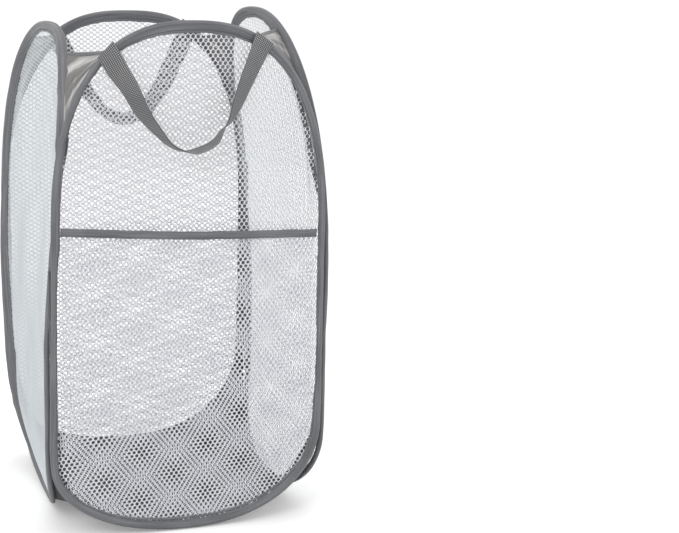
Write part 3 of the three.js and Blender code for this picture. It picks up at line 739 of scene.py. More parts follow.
# %% [markdown]
# ## The knitted net
#
# The net is a warp knit: threads meet in a staggered honeycomb of small holes, about six millimetres
# apart across and a little less up. A see-through texture would fake it, but the holes should show
# true thickness from every side, and catch and pass light, so each hole is real. The tree starts from
# a grid, shifts every other row by half a hole, keeps the points that lie over the panel's outline,
# and takes the dual of that mesh, which turns every point into a six-sided cell. Each cell then gets
# a hole, narrower than it is tall, and a mirrored copy of the ridges underneath closes the threads.
# The rows of each panel run at their own slant, so it is turned before it grows and back after.

# %% Build the net tree
knitting, knit_ids, wanted, knit = new_tree("knitting", [
    ("Hole Pitch", "NodeSocketFloat", 0.006),
    ("Row Height", "NodeSocketFloat", 0.0044),
    ("Hole Share", "NodeSocketFloat", 0.87),
    ("Hole Narrowing", "NodeSocketFloat", 0.74),
    ("Thread Depth", "NodeSocketFloat", 0.00035),
    ("Thread", "NodeSocketMaterial", None),
])
box = add(knitting, "GeometryNodeBoundBox")
low_corner = add(knitting, "ShaderNodeSeparateXYZ")
high_corner = add(knitting, "ShaderNodeSeparateXYZ")
wire_up(
    knitting,
    (wanted.outputs["Geometry"], box.inputs["Geometry"]),
    (box.outputs["Min"], low_corner.inputs[0]),
    (box.outputs["Max"], high_corner.inputs[0]),
)
hole_pitch, row_height = wanted.outputs["Hole Pitch"], wanted.outputs["Row Height"]


def fitting(axis, pitch):
    """How many holes or rows cover the piece along an axis, with a few to spare."""
    reach = calc(knitting, "SUBTRACT", high_corner.outputs[axis], low_corner.outputs[axis])
    return calc(knitting, "ADD", calc(knitting, "CEIL", calc(knitting, "DIVIDE", reach, pitch)), 4)


def placed_at(count, start, pitch, corner):
    """Where the hole or row of that number lies."""
    return calc(knitting, "MULTIPLY_ADD", calc(knitting, "SUBTRACT", count, start), pitch, corner)


hole_count, row_count = fitting("X", hole_pitch), fitting("Y", row_height)
lattice = add(knitting, "GeometryNodeMeshGrid")
index = add(knitting, "GeometryNodeInputIndex").outputs[0]
hole = calc(knitting, "FLOOR", calc(knitting, "DIVIDE", calc(knitting, "ADD", index, 0.5), row_count))
row_at = calc(knitting, "SUBTRACT", index, calc(knitting, "MULTIPLY", hole, row_count))
odd = calc(knitting, "FLOORED_MODULO", row_at, 2)
shifted = calc(knitting, "ADD", hole, calc(knitting, "MULTIPLY", odd, 0.5))
spot = add(knitting, "ShaderNodeCombineXYZ")
stagger = add(knitting, "GeometryNodeSetPosition")
wire_up(
    knitting,
    (hole_count, lattice.inputs["Vertices X"]),
    (row_count, lattice.inputs["Vertices Y"]),
    (lattice.outputs["Mesh"], stagger.inputs["Geometry"]),
    (placed_at(shifted, 1.75, hole_pitch, low_corner.outputs["X"]), spot.inputs["X"]),
    (placed_at(row_at, 1.5, row_height, low_corner.outputs["Y"]), spot.inputs["Y"]),
    (spot.outputs[0], stagger.inputs["Position"]),
)

# %% Cut the lattice to its border, and open its cells
above = add(knitting, "ShaderNodeVectorMath", operation="ADD")
above.inputs[1].default_value = (0, 0, 0.05)
where = add(knitting, "GeometryNodeInputPosition")
probe = add(knitting, "GeometryNodeRaycast")
probe.inputs["Ray Direction"].default_value = (0, 0, -1)
probe.inputs["Ray Length"].default_value = 0.1
outside = add(knitting, "FunctionNodeBooleanMath", operation="NOT")
trim = add(knitting, "GeometryNodeDeleteGeometry", domain="POINT")
triangles = add(knitting, "GeometryNodeTriangulate")
cells = add(knitting, "GeometryNodeDualMesh")
sink = add(knitting, "ShaderNodeCombineXYZ")
punch = add(knitting, "GeometryNodeExtrudeMesh", mode="FACES")
punch.inputs["Offset Scale"].default_value = 1.0
shrink = add(knitting, "GeometryNodeScaleElements", domain="FACE")
narrow = add(knitting, "GeometryNodeScaleElements", domain="FACE", scale_mode="SINGLE_AXIS")
narrow.inputs["Axis"].default_value = (1, 0, 0)
clear = add(knitting, "GeometryNodeDeleteGeometry", domain="FACE", mode="ONLY_FACE")
wire_up(
    knitting,
    (stagger.outputs[0], trim.inputs["Geometry"]),
    (wanted.outputs["Geometry"], probe.inputs["Target Geometry"]),
    (where.outputs[0], above.inputs[0]),
    (above.outputs[0], probe.inputs["Source Position"]),
    (probe.outputs["Is Hit"], outside.inputs[0]),
    (outside.outputs[0], trim.inputs["Selection"]),
    (trim.outputs[0], triangles.inputs["Mesh"]),
    (triangles.outputs[0], cells.inputs["Mesh"]),
    (cells.outputs["Dual Mesh"], punch.inputs["Mesh"]),
    (calc(knitting, "MULTIPLY", wanted.outputs["Thread Depth"], -1.0), sink.inputs["Z"]),
    (sink.outputs[0], punch.inputs["Offset"]),
    (punch.outputs["Mesh"], shrink.inputs["Geometry"]),
    (punch.outputs["Top"], shrink.inputs["Selection"]),
    (wanted.outputs["Hole Share"], shrink.inputs["Scale"]),
    (shrink.outputs[0], narrow.inputs["Geometry"]),
    (punch.outputs["Top"], narrow.inputs["Selection"]),
    (wanted.outputs["Hole Narrowing"], narrow.inputs["Scale"]),
    (narrow.outputs[0], clear.inputs["Geometry"]),
    (punch.outputs["Top"], clear.inputs["Selection"]),
)
print("the cells are cut with", len(knitting.nodes), "nodes so far")

# %% Mirror the ridges and close the threads
raise_up = add(knitting, "GeometryNodeSetPosition")
upward = add(knitting, "ShaderNodeCombineXYZ")
mirrored = add(knitting, "GeometryNodeTransform")
mirrored.inputs["Scale"].default_value = (1, 1, -1)
turn_over = add(knitting, "GeometryNodeFlipFaces")
both = add(knitting, "GeometryNodeJoinGeometry")
close = add(knitting, "GeometryNodeMergeByDistance")
close.inputs["Distance"].default_value = 1e-5
soften = add(knitting, "GeometryNodeSetShadeSmooth")
real_net = add(knitting, "GeometryNodeRealizeInstances")
dress_net = add(knitting, "GeometryNodeSetMaterial")
wire_up(
    knitting,
    (clear.outputs[0], raise_up.inputs["Geometry"]),
    (wanted.outputs["Thread Depth"], upward.inputs["Z"]),
    (upward.outputs[0], raise_up.inputs["Offset"]),
    (raise_up.outputs[0], mirrored.inputs["Geometry"]),
    (mirrored.outputs[0], turn_over.inputs["Mesh"]),
    (turn_over.outputs[0], both.inputs[0]),
    (raise_up.outputs[0], both.inputs[0]),
    (both.outputs[0], close.inputs["Geometry"]),
    (close.outputs[0], soften.inputs["Geometry"]),
    (soften.outputs[0], real_net.inputs["Geometry"]),
    (real_net.outputs[0], dress_net.inputs["Geometry"]),
    (wanted.outputs["Thread"], dress_net.inputs["Material"]),
    (dress_net.outputs[0], knit.inputs["Geometry"]),
)
print("knitting tree:", len(knitting.nodes), "nodes")


# %% Knit a piece and hang it
HOLE_PITCH, ROW_HEIGHT = 0.0060, 0.0043


def knitted(name, border, slant, thread=net_white):
    """A flat piece of net cut to a border of (across, height) points, its rows slanted by degrees."""
    c, s = math.cos(math.radians(slant)), math.sin(math.radians(slant))
    base = bpy.data.meshes.new(name + "_cut")
    turned = [(c * across + s * z, c * z - s * across, 0) for across, z in border]
    base.from_pydata(turned, [], [tuple(range(len(border)))])
    obj = grown(name, base, knitting, knit_ids, Hole_Pitch=HOLE_PITCH, Row_Height=ROW_HEIGHT,
                Thread=thread)
    co = np.array([v.co for v in obj.data.vertices])
    back = np.stack([c * co[:, 0] - s * co[:, 1], s * co[:, 0] + c * co[:, 1], co[:, 2]], axis=1)
    obj.data.vertices.foreach_set("co", back.ravel())
    return obj


def hang_mesh(obj, side, out_at):
    """Hangs a flat mesh (across, height, outwards) on its side."""
    co = np.array([v.co for v in obj.data.vertices])
    placed = hang(side, co[:, 0], out_at(co[:, 0], co[:, 1]) + co[:, 2], co[:, 1])
    obj.data.vertices.foreach_set("co", placed.ravel())
    obj.data.update()
    if signed_volume(obj.data) < 0:
        obj.data.flip_normals()


# %% Stretch the four panels
NET_LAP = 0.0048  # the net's edge lies this far inside the hoop's outer edge, hidden in the tape
NET_SLACK, NET_RIPPLE = 0.003, 0.0009


def billow(side, across, z):
    """The net isn't drum tight: it bows by a few millimetres between the wires."""
    wide = np.clip(1 - (across / HALF) ** 2, 0, 1)
    tall = np.clip(np.sin(math.pi * np.clip(z / side["height"], 0, 1)), 0, 1)
    ripple = np.sin(31 * across + 17 * z + side["turns"]) + np.sin(23 * z - 37 * across)
    return wide * tall * (NET_RIPPLE * ripple - NET_SLACK)


SLANTS = {"front": 0.0, "right": 4.0, "back": 90.0, "left": -5.0}
# the sides get the copy of the net with painted shade
THREADS = {"front": net_white, "right": side_net_shaded_copy, "back": net_white, "left": side_net_shaded_copy}
for name, side in SIDES.items():
    border, _ = outline(side, 240, NET_LAP)
    net = knitted(name + "_net", border, SLANTS[name], THREADS[name])
    hang_mesh(net, side, lambda across, z: billow(side, across, z))
    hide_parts(name + "_mesh_panel")
    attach(net, name)
    print(name, "net:", len(net.data.polygons), "faces")

# %% [markdown]
# ## The front pocket
#
# A second layer of net covers the lower half of the front, open at the top, and hangs slack by a few
# millimetres so that small things can be slipped in. Its edge is finished with a flat gray tape.
# The same two trees make it: the net is cut to the hoop's outline below a line across, and the tape
# is a flat section swept along that line.

# %% Cut the pocket
POCKET_TOP = 0.370
POCKET_SLOPE, POCKET_SAG = 0.038, 0.002
POCKET_BELLY, POCKET_REACH = 0.009, 0.156  # how far it bags out, and to where on each side
POCKET_OFF = 0.0011  # from the middle of the hoop, where it is sewn down
HEM_LAP = 0.006  # the pocket's net ends this far below the top of its hem
front = SIDES["front"]


def pocket_line(across):
    """Height of the pocket's top edge, which runs down a little to the right and sags."""
    return POCKET_TOP - POCKET_SLOPE * across - POCKET_SAG * (1 - (across / HALF) ** 2)


def pocket_out(across, z):
    """How far the pocket stands off the middle of the hoop."""
    wide = np.cos(math.pi / 2 * np.clip(np.abs(across) / POCKET_REACH, 0, 1)) ** 1.6
    tall = np.clip(z / POCKET_TOP, 0, 1) ** 1.5
    return POCKET_OFF + POCKET_BELLY * wide * tall


border, _ = outline(front, 240, NET_LAP)
below = border[:, 1] < pocket_line(border[:, 0]) - HEM_LAP
first_below = int(np.argmax(below & ~np.roll(below, 1)))
lower = np.roll(border, -first_below, axis=0)[np.roll(below, -first_below)]
top_across = np.linspace(lower[-1, 0], lower[0, 0], 30)[1:-1]
top_edge = np.stack([top_across, pocket_line(top_across) - HEM_LAP], axis=1)
pocket_border = np.vstack([lower, top_edge])
pocket = knitted("pocket_net", pocket_border, 6.0)
hang_mesh(pocket, front, pocket_out)
print("pocket net:", len(pocket.data.polygons), "faces")

# %% Bind its edge
HEM_REACH = 0.1535  # half the length of the hem
HEM_STITCH_DEPTH, HEM_FACE = 0.0079, 0.0009
HEM_OFF = 0.0004  # the hem lies this far outside the pocket's net
HEM_WAVE = 0.0006
hem_section = np.array([
    (0.0, 0.0), (0.15, 0.6), (0.7, 0.95), (1.6, 0.85), (4.0, 0.75), (7.2, 0.8), (7.9, 0.66),
    (8.6, 0.8), (9.5, 0.7), (9.8, 0.3),
]) / 1000
hem_section = np.vstack([hem_section, hem_section[::-1][:-1] * [1, -1]])
hem_across = np.linspace(-HEM_REACH, HEM_REACH, 120)
rng = np.random.default_rng(5)
lengths = (45, 83, 140, 210)
wobble = sum(np.sin(hem_across * k + rng.uniform(0, ANY_PHASE)) for k in lengths) / len(lengths)


def on_hem(depth, face):
    """Points that far down the hem and off its middle, all along it."""
    z = pocket_line(hem_across) - depth * (1 + 0.03 * wobble) + HEM_WAVE * wobble
    return hang(front, hem_across, pocket_out(hem_across, POCKET_TOP) + HEM_OFF + face, z)


rings = np.stack([on_hem(depth, face) for depth, face in hem_section], axis=1)
hem = swept("pocket_hem_tape", rings, tape_gray, loop=False)
hem_rows = [(on_hem(HEM_STITCH_DEPTH, face), False) for face in (HEM_FACE, -HEM_FACE)]
hem_thread = stitches("pocket_hem_stitches", hem_rows)
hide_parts("front_pocket_mesh")
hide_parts("front_pocket_hem")
for part in (pocket, hem, hem_thread):
    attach(part, "front")
print("pocket hem:", 2 * HEM_REACH, "m")

# %% [markdown]
# ## Carrying handles
#
# Front and back have a loop of webbing whose two ends are sewn flat on the tape. The strap leaves
# them flat, then turns edge on to the hamper as it hangs, so that one sees its face at the sides and
# only its edge at the bottom. A ribbon that turns on its way needs a direction for its width at every
# point, so each ring of the sweep gets its own angle, and the ribbon is drawn flat and then hung on
# the leaning front like everything else. Its ends are cut at a slant, which is a shear of the last
# rings. The back strap is the front one mirrored, with less of a turn, as no two hang quite alike.

# %% Helpers for the straps
STRAP_WIDTH, STRAP_THICKNESS = 0.025, 0.0016


def through(stops, count):
    """A smooth line through stops, as rows of equal steps (centripetal where they are uneven)."""
    stops = np.asarray(stops, float)
    gap = np.r_[0, np.cumsum(np.linalg.norm(np.diff(stops[:, :2], axis=0), axis=1) ** 0.5)]
    before = 2 * stops[0] - stops[1]
    after = 2 * stops[-1] - stops[-2]
    points = np.vstack([before, stops, after])
    knots = np.r_[2 * gap[0] - gap[1], gap, 2 * gap[-1] - gap[-2]]
    fine = []
    for i in range(1, len(points) - 2):
        t = np.linspace(knots[i], knots[i + 1], 40, endpoint=False)[:, None]
        p0, p1, p2, p3 = points[i - 1:i + 3]
        t0, t1, t2, t3 = knots[i - 1:i + 3]
        a1 = (t1 - t) / (t1 - t0) * p0 + (t - t0) / (t1 - t0) * p1
        a2 = (t2 - t) / (t2 - t1) * p1 + (t - t1) / (t2 - t1) * p2
        a3 = (t3 - t) / (t3 - t2) * p2 + (t - t2) / (t3 - t2) * p3
        b1 = (t2 - t) / (t2 - t0) * a1 + (t - t0) / (t2 - t0) * a2
        b2 = (t3 - t) / (t3 - t1) * a2 + (t - t1) / (t3 - t1) * a3
        fine.append((t2 - t) / (t2 - t1) * b1 + (t - t1) / (t2 - t1) * b2)
    fine = np.vstack(fine + [stops[-1:]])
    along = np.r_[0, np.cumsum(np.linalg.norm(np.diff(fine[:, :2], axis=0), axis=1))]
    at = np.linspace(0, along[-1], count)
    return np.stack([np.interp(at, along, values) for values in fine.T], axis=1)


def strap_section():
    """The section of the webbing, with low ribs along its faces."""
    half, thick = STRAP_WIDTH / 2, STRAP_THICKNESS / 2
    wide = np.linspace(-half + 0.0005, half - 0.0005, 13)
    rib = 1 + 0.05 * np.cos(wide / half * 9)
    upper = np.stack([wide, thick * rib], axis=1)
    lower = np.stack([wide[::-1], -thick * rib], axis=1)
    return np.vstack([[-half, 0], upper, [half, 0], lower])


def strap_frames(stops, count):
    """Middle, width direction and face direction along a strap, drawn flat: (across, out, height)."""
    line = through(stops, count)
    flat, out, twist = line[:, :2], line[:, 2], np.radians(line[:, 3])
    tangent = np.gradient(flat, axis=0)
    tangent /= np.linalg.norm(tangent, axis=1)[:, None]
    middle = np.stack([flat[:, 0], out, flat[:, 1]], axis=1)
    beside = np.stack([-tangent[:, 1], 0 * out, tangent[:, 0]], axis=1)
    outward = np.array([0, 1, 0])
    c, s = np.cos(twist)[:, None], np.sin(twist)[:, None]
    return middle, c * beside + s * outward, c * outward - s * beside


print("strap section:", len(strap_section()), "points")

# %% Hang the straps
# across, height, out from the middle of the hoop, and turn in degrees, all along the strap
STRAP_STOPS = [
    (-0.1030, 0.5769, 0.0052, 0), (-0.0960, 0.5662, 0.0052, 3), (-0.0882, 0.5528, 0.0058, 22),
    (-0.0793, 0.5394, 0.0078, 38), (-0.0717, 0.5260, 0.0100, 48), (-0.0650, 0.5125, 0.0125, 55),
    (-0.0564, 0.4990, 0.0148, 63), (-0.0449, 0.4853, 0.0165, 73), (-0.0313, 0.4707, 0.0175, 82),
    (-0.0147, 0.4628, 0.0175, 84), (-0.0011, 0.4622, 0.0170, 95), (0.0089, 0.4655, 0.0165, 95),
    (0.0175, 0.4692, 0.0160, 94), (0.0247, 0.4755, 0.0155, 90), (0.0303, 0.4854, 0.0150, 81),
    (0.0404, 0.4978, 0.0140, 62), (0.0469, 0.5115, 0.0125, 50), (0.0529, 0.5252, 0.0105, 42),
    (0.0585, 0.5389, 0.0088, 36), (0.0646, 0.5527, 0.0072, 30), (0.0707, 0.5665, 0.0060, 24),
    (0.0764, 0.5803, 0.0055, 13), (0.0815, 0.5913, 0.0052, 0),
]
END_SLANTS = (14, -10)  # degrees from a square cut, at the first and the last end
END_SHEAR_LENGTH = 0.014
BACK_TURN_SHARE = 0.6
# the line each strap swings about, towards -Y at the front
HINGE_Y = {"front": -0.18014, "back": 0.169448}


def strap(name, side, mirror):
    """A strap hung on its side, mirrored or not."""
    stops, slants = np.array(STRAP_STOPS), END_SLANTS
    if mirror:
        stops, slants = stops[::-1] * [-1, 1, 1, BACK_TURN_SHARE], (-slants[1], -slants[0])
    middle, beside, face = strap_frames(stops, 150)
    section = strap_section()
    ring = middle[:, None] + beside[:, None] * section[None, :, :1] + face[:, None] * section[None, :, 1:]
    tangent = np.gradient(middle, axis=0)
    tangent /= np.linalg.norm(tangent, axis=1)[:, None]
    along = np.r_[0, np.cumsum(np.linalg.norm(np.diff(middle, axis=0), axis=1))]
    for slant, away in zip(slants, (along, along[-1] - along)):
        shear = math.tan(math.radians(slant)) * np.clip(1 - away / END_SHEAR_LENGTH, 0, 1)
        ring = ring - shear[:, None, None] * section[None, :, :1] * tangent[:, None]
    return swept(name, hang(side, ring[..., 0], ring[..., 1], ring[..., 2]), webbing_gray, loop=False)


for name, y in HINGE_Y.items():
    handle = name + "_handle"
    webbing = strap(handle + "_strap", SIDES[name], mirror=name == "back")
    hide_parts(handle, handle + "_left_tab", handle + "_right_tab")
    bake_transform(webbing)
    print(handle, "strap:", len(webbing.data.polygons), "faces")

# %% [markdown]
# ## Gussets
#
# Between neighbouring hoops, below the mouth, a triangle of satin closes the gap and holds the hoops
# square to each other. It is sewn along both hoops and gathered at its lower point, so its folds run
# out from that point. A cloth simulation could find such folds, but the cloth is small and its edges
# are fixed, so the folds are drawn directly: a surface ruled between the two sewn edges, pushed in
# and out by waves that fan out from the point. Satin shows a fold mostly by its shine, so each sheet
# also keeps how far its folds stand up, as an attribute that the finish reads to paint shade into the
# hollows of the folds and highlights onto their ridges.
# The ring of four sides is open at the back left corner, so that it can fold. The gusset there is in
# two halves, one on each hoop, and the halves flatten as the corner opens.

# %% Draw the satin
# how far out each of a side's two gussets comes to its low point, at the left and at the right
GUSSET_LOWS = {
    "front": (0.1615, 0.1615), "right": (0.1615, 0.1615),
    "back": (0.1615, 0.155), "left": (0.155, 0.1615),
}
# how near the middle of each side its two hems come, at the left and at the right seen from outside
GUSSET_REACHES = {
    "front": (0.095, 0.072), "right": (0.080, 0.100), "back": (0.095, 0.100), "left": (0.082, 0.086),
}
TAPE_INSIDE = 0.0060  # cloth is sewn to a tape this far in from its outer edge
SATIN_THICKNESS, SATIN_BEHIND = 0.0006, 0.0024  # the last is how far behind the hoop's middle it lies
# two fans of folds, one about the handle's end of the hem and one about the low point
HEM_FOLDS, TIP_FOLDS = (9, 15, 23), (11, 19)
BELLY_DEPTH, FOLD_DEPTH, HEM_SAG = 0.006, 0.0036, 0.001


def sewn_edge(name, hand, count):
    """Points along the tape's inner face, from the low point up. The hand is 1 at the right."""
    side, end = SIDES[name], 1 if hand > 0 else 0
    reach, low = GUSSET_REACHES[name][end], GUSSET_LOWS[name][end]
    points, inward = outline(side, 3000)
    top = (points[:, 1] > TOP_START) & (points[:, 0] * hand > reach) & (points[:, 0] * hand < low)
    points, inward = points[top], inward[top]
    order = np.argsort(points[:, 1])
    points = points[order] + TAPE_INSIDE * inward[order]
    pick = np.linspace(0, len(points) - 1, count).round().astype(int)
    return hang(side, points[pick, 0], -SATIN_BEHIND, points[pick, 1])


def thick_sheet(name, grid, thickness, material, creases=None):
    """A closed sheet round a grid of points, with a UV map in metres and how far its folds stand up."""
    grid = np.asarray(grid, float)
    rows, columns = grid.shape[:2]
    du, dv = np.gradient(grid, axis=0), np.gradient(grid, axis=1)
    normal = np.cross(du, dv)
    normal /= np.linalg.norm(normal, axis=2)[..., None] + 1e-12
    vertices = np.vstack([(grid + s * thickness / 2 * normal).reshape(-1, 3) for s in (-1, 1)])
    total = rows * columns
    down = np.r_[0, np.cumsum(np.linalg.norm(np.diff(grid, axis=0), axis=2).mean(axis=1))]
    across = np.r_[0, np.cumsum(np.linalg.norm(np.diff(grid, axis=1), axis=2).mean(axis=0))]
    where = np.stack(np.meshgrid(across, down), axis=-1).reshape(-1, 2)
    where = np.vstack([where, where])
    faces = []
    for i in range(rows - 1):
        for j in range(columns - 1):
            a = i * columns + j
            quad = (a, a + 1, a + columns + 1, a + columns)
            faces += [quad[::-1], tuple(total + q for q in quad)]
    rim = [i * columns for i in range(rows)] + [(rows - 1) * columns + j for j in range(1, columns)]
    rim += [i * columns + columns - 1 for i in range(rows - 2, -1, -1)] + list(range(columns - 2, 0, -1))
    for a, b in zip(rim, rim[1:] + rim[:1]):
        faces.append((a, b, total + b, total + a))
    uv = [tuple(where[v]) for face in faces for v in face]
    obj = piece(name, vertices, faces, material, uv)
    if creases is not None:
        # the fold heights, which the satin's finish turns into painted shade and highlights
        held = obj.data.attributes.new("crease", "FLOAT", "POINT")
        held.data.foreach_set("value", np.tile(creases.ravel(), 2))
    return obj


def gusset_grid(first, second, seed, part=(0.0, 1.0), rows=90, columns=70):
    """Points of a gusset: up from its low point, and across from the first hoop to the second."""
    left = sewn_edge(first, 1, rows)
    right = sewn_edge(second, -1, rows)
    u = np.linspace(*part, columns)[None, :, None]
    t = np.linspace(0, 1, rows)[:, None, None]
    grid = left[:, None] * (1 - u) + right[:, None] * u
    inwards = -(left + right) / 2 * [1, 1, 0]
    inwards /= np.linalg.norm(inwards, axis=1)[:, None]
    rng = np.random.default_rng(seed)
    belly = np.sin(math.pi * u)
    pull = 1 - u if first in ("front", "back") else u  # 1 at the hoop that carries a handle
    from_hem = np.arctan2(1.04 - t, 1.08 - pull)
    from_tip = np.arctan2(u - 0.5, t + 0.12)
    folds = 0
    for angle, counts, weight in ((from_hem, HEM_FOLDS, t), (from_tip, TIP_FOLDS, 1 - t)):
        for k in counts:
            phase = rng.uniform(0, ANY_PHASE)
            wave = np.sin(k * angle + phase + 0.5 * np.sin(5 * u + rng.uniform(0, ANY_PHASE)))
            folds = folds + weight * (1 - 1.6 * np.abs(wave)) * 9 / k
    push = belly * BELLY_DEPTH * t**1.5
    push = push + belly**0.5 * FOLD_DEPTH * folds * (0.25 + t) * (1.05 - t) ** 0.35
    grid = grid + push * inwards[:, None]
    grid[..., 2] -= (belly * HEM_SAG * t**3)[..., 0]
    return grid, np.broadcast_to(folds, grid.shape[:2] + (1,))[..., 0]


print("satin is drawn by sewn_edge, thick_sheet and gusset_grid")

# %% Sew the gussets in
# the corners, each with its left and its right side seen from outside
CORNERS = {
    ("front", "right"): "front_right", ("right", "back"): "back_right",
    ("back", "left"): "back_left", ("left", "front"): "front_left",
}
# the two hoops on either side of each gusset that is one sheet; the back left corner is the open one, so
# it has none there
BENDS = {
    ("front", "right"): ("front", "right"), ("right", "back"): ("right", "back"),
    ("left", "front"): ("front", "left"),
}


def gusset_tape(name, grid):
    """The folded tape along a gusset's straight top edge."""
    top = grid[-1]
    down = grid[-1] - grid[-8]
    down /= np.linalg.norm(down, axis=1)[:, None]
    along = np.gradient(top, axis=0)
    face = np.cross(down, along)
    face /= np.linalg.norm(face, axis=1)[:, None]
    section = np.array([(0.8, 0), (0.5, 0.8), (-0.5, 1.0), (-2, 0.9), (-3.8, 0.8), (-4.2, 0.4)]) / 1000
    section = np.vstack([section, section[:0:-1] * [1, -1]])
    rings = top[:, None] + down[:, None] * section[None, :, :1] + face[:, None] * section[None, :, 1:]
    return swept(name, rings, tape_gray, loop=False)


for seed, ((first, second), corner) in enumerate(CORNERS.items(), start=40):
    split = (first, second) not in BENDS
    for part, span in (("a", (0.0, 0.5)), ("b", (0.5, 1.0))) if split else (("", (0.0, 1.0)),):
        grid, creases = gusset_grid(first, second, seed, span, columns=35 if split else 70)
        satin = thick_sheet(corner + "_satin" + part, grid, SATIN_THICKNESS, satin_gray, creases)
        edge = gusset_tape(corner + "_satin_hem" + part, grid)
        if part != "b":
            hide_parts(corner + "_top_gusset")
        for sewn in (satin, edge):
            if split:
                body = first if part == "a" else second
                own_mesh(sewn)
                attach(sewn, body)
            else:
                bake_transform(sewn)
print("gussets:", ", ".join(CORNERS.values()))

# %% [markdown]
# ## Corner seams
#
# From just above the floor to the tip of each gusset, two neighbouring tapes are sewn edge to edge,
# and that seam is the hinge that the hamper folds about. It is a thin bead of tape with thread whipped
# round it, so the bead is swept and the thread is a tight helix of edges given to the stitching tree.
# Two of the seams are shorter or longer than the others, as far as their tapes stay side by side.

# %% Sew the corners
SEAM_RADIUS, COIL_RADIUS, COIL_TURNS, COIL_POINTS = 0.0013, 0.0016, 60, 1200
COIL_INSET = 0.001  # the thread stops this far short of the bead's ends
SEAM_FEET = {"front_right": 0.125, "back_right": 0.098, "back_left": 0.125, "front_left": 0.125}
SEAM_TOPS = {"front_right": 0.4, "back_right": 0.4, "back_left": 0.4, "front_left": 0.325}
SEAM_BODIES = {
    "front_right": "front", "back_right": "right", "back_left": "left", "front_left": "front",
}


def round_seam(corner, radius, angle, z, slack=0.0):
    """Points round a corner seam, at some angles about its middle."""
    x = CORNER if corner.endswith("right") else -CORNER
    y = -CORNER if corner.startswith("front") else CORNER
    across, deep = x + slack + radius * np.cos(angle), y + slack + radius * np.sin(angle)
    return np.stack(np.broadcast_arrays(across, deep, z), axis=-1)


for corner, body in SEAM_BODIES.items():
    foot, top = SEAM_FEET[corner], SEAM_TOPS[corner]
    z = np.linspace(foot, top, 80)[:, None]
    slack = 0.0004 * np.sin(z * 90) + 0.0003 * np.sin(z * 231)
    angle = np.linspace(0, 2 * math.pi, 10, endpoint=False)
    rings = round_seam(corner, SEAM_RADIUS, angle, z, slack)
    bead = swept(corner + "_seam_bead", rings, tape_gray, loop=False)
    turns = np.linspace(0, 2 * math.pi * COIL_TURNS, COIL_POINTS)
    height = np.linspace(foot + COIL_INSET, top - COIL_INSET, COIL_POINTS)
    coil = round_seam(corner, COIL_RADIUS, turns, height)
    whip = stitches(corner + "_seam_thread", [(coil, False)], pitch=0.0023, length=0.0024, thread=0.0005)
    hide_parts(corner + "_corner_seam")
    for part in (bead, whip):
        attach(part, body)
print("seams:", ", ".join(SEAM_BODIES))

# %% [markdown]
# ## The floor of the hamper
#
# One square of plain cloth is sewn to the four bottom curves. It lies flat in the middle, and its
# corners are drawn up between the hoops. Because all four hoops hold it, it is made as four triangles
# that meet in the middle, one for each hoop: each then goes with its own hoop when the hamper folds,
# and flattens against it, as the creased cloth does.

# %% Draw a quarter of the floor
CORNER_INSET, CORNER_BEHIND = 0.008, 0.003  # the cloth's corners stop this far short of the hoops
CLOTH_BEHIND = 0.0035  # its sewn edges lie this far behind the middle of a hoop
BOTTOM_TOP = 0.16  # the bottom curves lie below this height
CORNER_RISES = {("right", "back"): 1.22}  # how high a corner is drawn up, as a share of the low curves
FLAT_SHARE = 0.52  # of the way from the middle to a hoop, where the cloth begins to rise
FLOOR_LIFT, LEAST_LIFT, FLOOR_FOLD = 0.0010, 0.0008, 0.006


def corner_point(first, second):
    """Where two neighbouring quarters of the floor cloth meet, up between the hoops."""
    ends = []
    for name, hand in ((first, 1), (second, -1)):
        side = SIDES[name]
        low = side["low"][1 if hand > 0 else 0]
        rise = CORNER_RISES.get((first, second), 1.04)
        ends.append(hang(side, hand * (HALF - CORNER_INSET), -CORNER_BEHIND, low * rise))
    return np.mean(ends, axis=0)


def bottom_edge(name, count):
    """The bottom curve of a hoop on the tape's inner face, with its ends in the corners."""
    side = SIDES[name]
    order = list(SIDES)
    i = order.index(name)
    left = corner_point(order[i - 1], name)
    right = corner_point(name, order[(i + 1) % 4])
    points, inward = outline(side, 3000)
    points = points + TAPE_INSIDE * inward
    limit = HALF - CORNER_INSET
    keep = (points[:, 1] < BOTTOM_TOP) & (np.abs(points[:, 0]) < limit)
    points = points[keep]
    points = points[np.argsort(points[:, 0])]
    share = np.sin(np.linspace(-math.pi / 2, math.pi / 2, count))
    height = np.interp(share * limit, points[:, 0], points[:, 1])
    low = np.where(share < 0, side["low"][0], side["low"][1]) * 0.9
    height = np.minimum(height, low)
    edge = hang(side, share * limit, -CLOTH_BEHIND, height)
    near = np.clip((np.abs(share) - 0.8) / 0.2, 0, 1) ** 2
    fix = np.where((share < 0)[:, None], left - edge[0], right - edge[-1])
    return edge + near[:, None] * fix, share


def floor_quarter(name, rows=40, columns=90):
    """Points of the cloth from the middle of the floor out to one hoop."""
    edge, share = bottom_edge(name, columns)
    rho = np.linspace(0.004, 1, rows)[:, None]
    plan = edge[None, :, :2] * rho[..., None]
    lift = np.clip((rho - FLAT_SHARE) / (1 - FLAT_SHARE), 0, 1)
    height = FLOOR_LIFT + (edge[None, :, 2] - FLOOR_LIFT) * lift**2.1
    fold = np.sin(14 * share[None, :] ** 3 + 5 * rho) * np.abs(share[None, :]) ** 2 * lift * (1 - lift)
    height = np.maximum(height + FLOOR_FOLD * fold, LEAST_LIFT)
    return np.concatenate([plan, height[..., None]], axis=2)


# %% Lay the floor cloth
CLOTH_THICKNESS = 0.0008
for name, side in SIDES.items():
    grid = floor_quarter(name)
    quarter = thick_sheet(name + "_floor_cloth", grid, CLOTH_THICKNESS, floor_gray)
    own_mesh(quarter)
    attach(quarter, name)
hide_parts("bottom_panel")

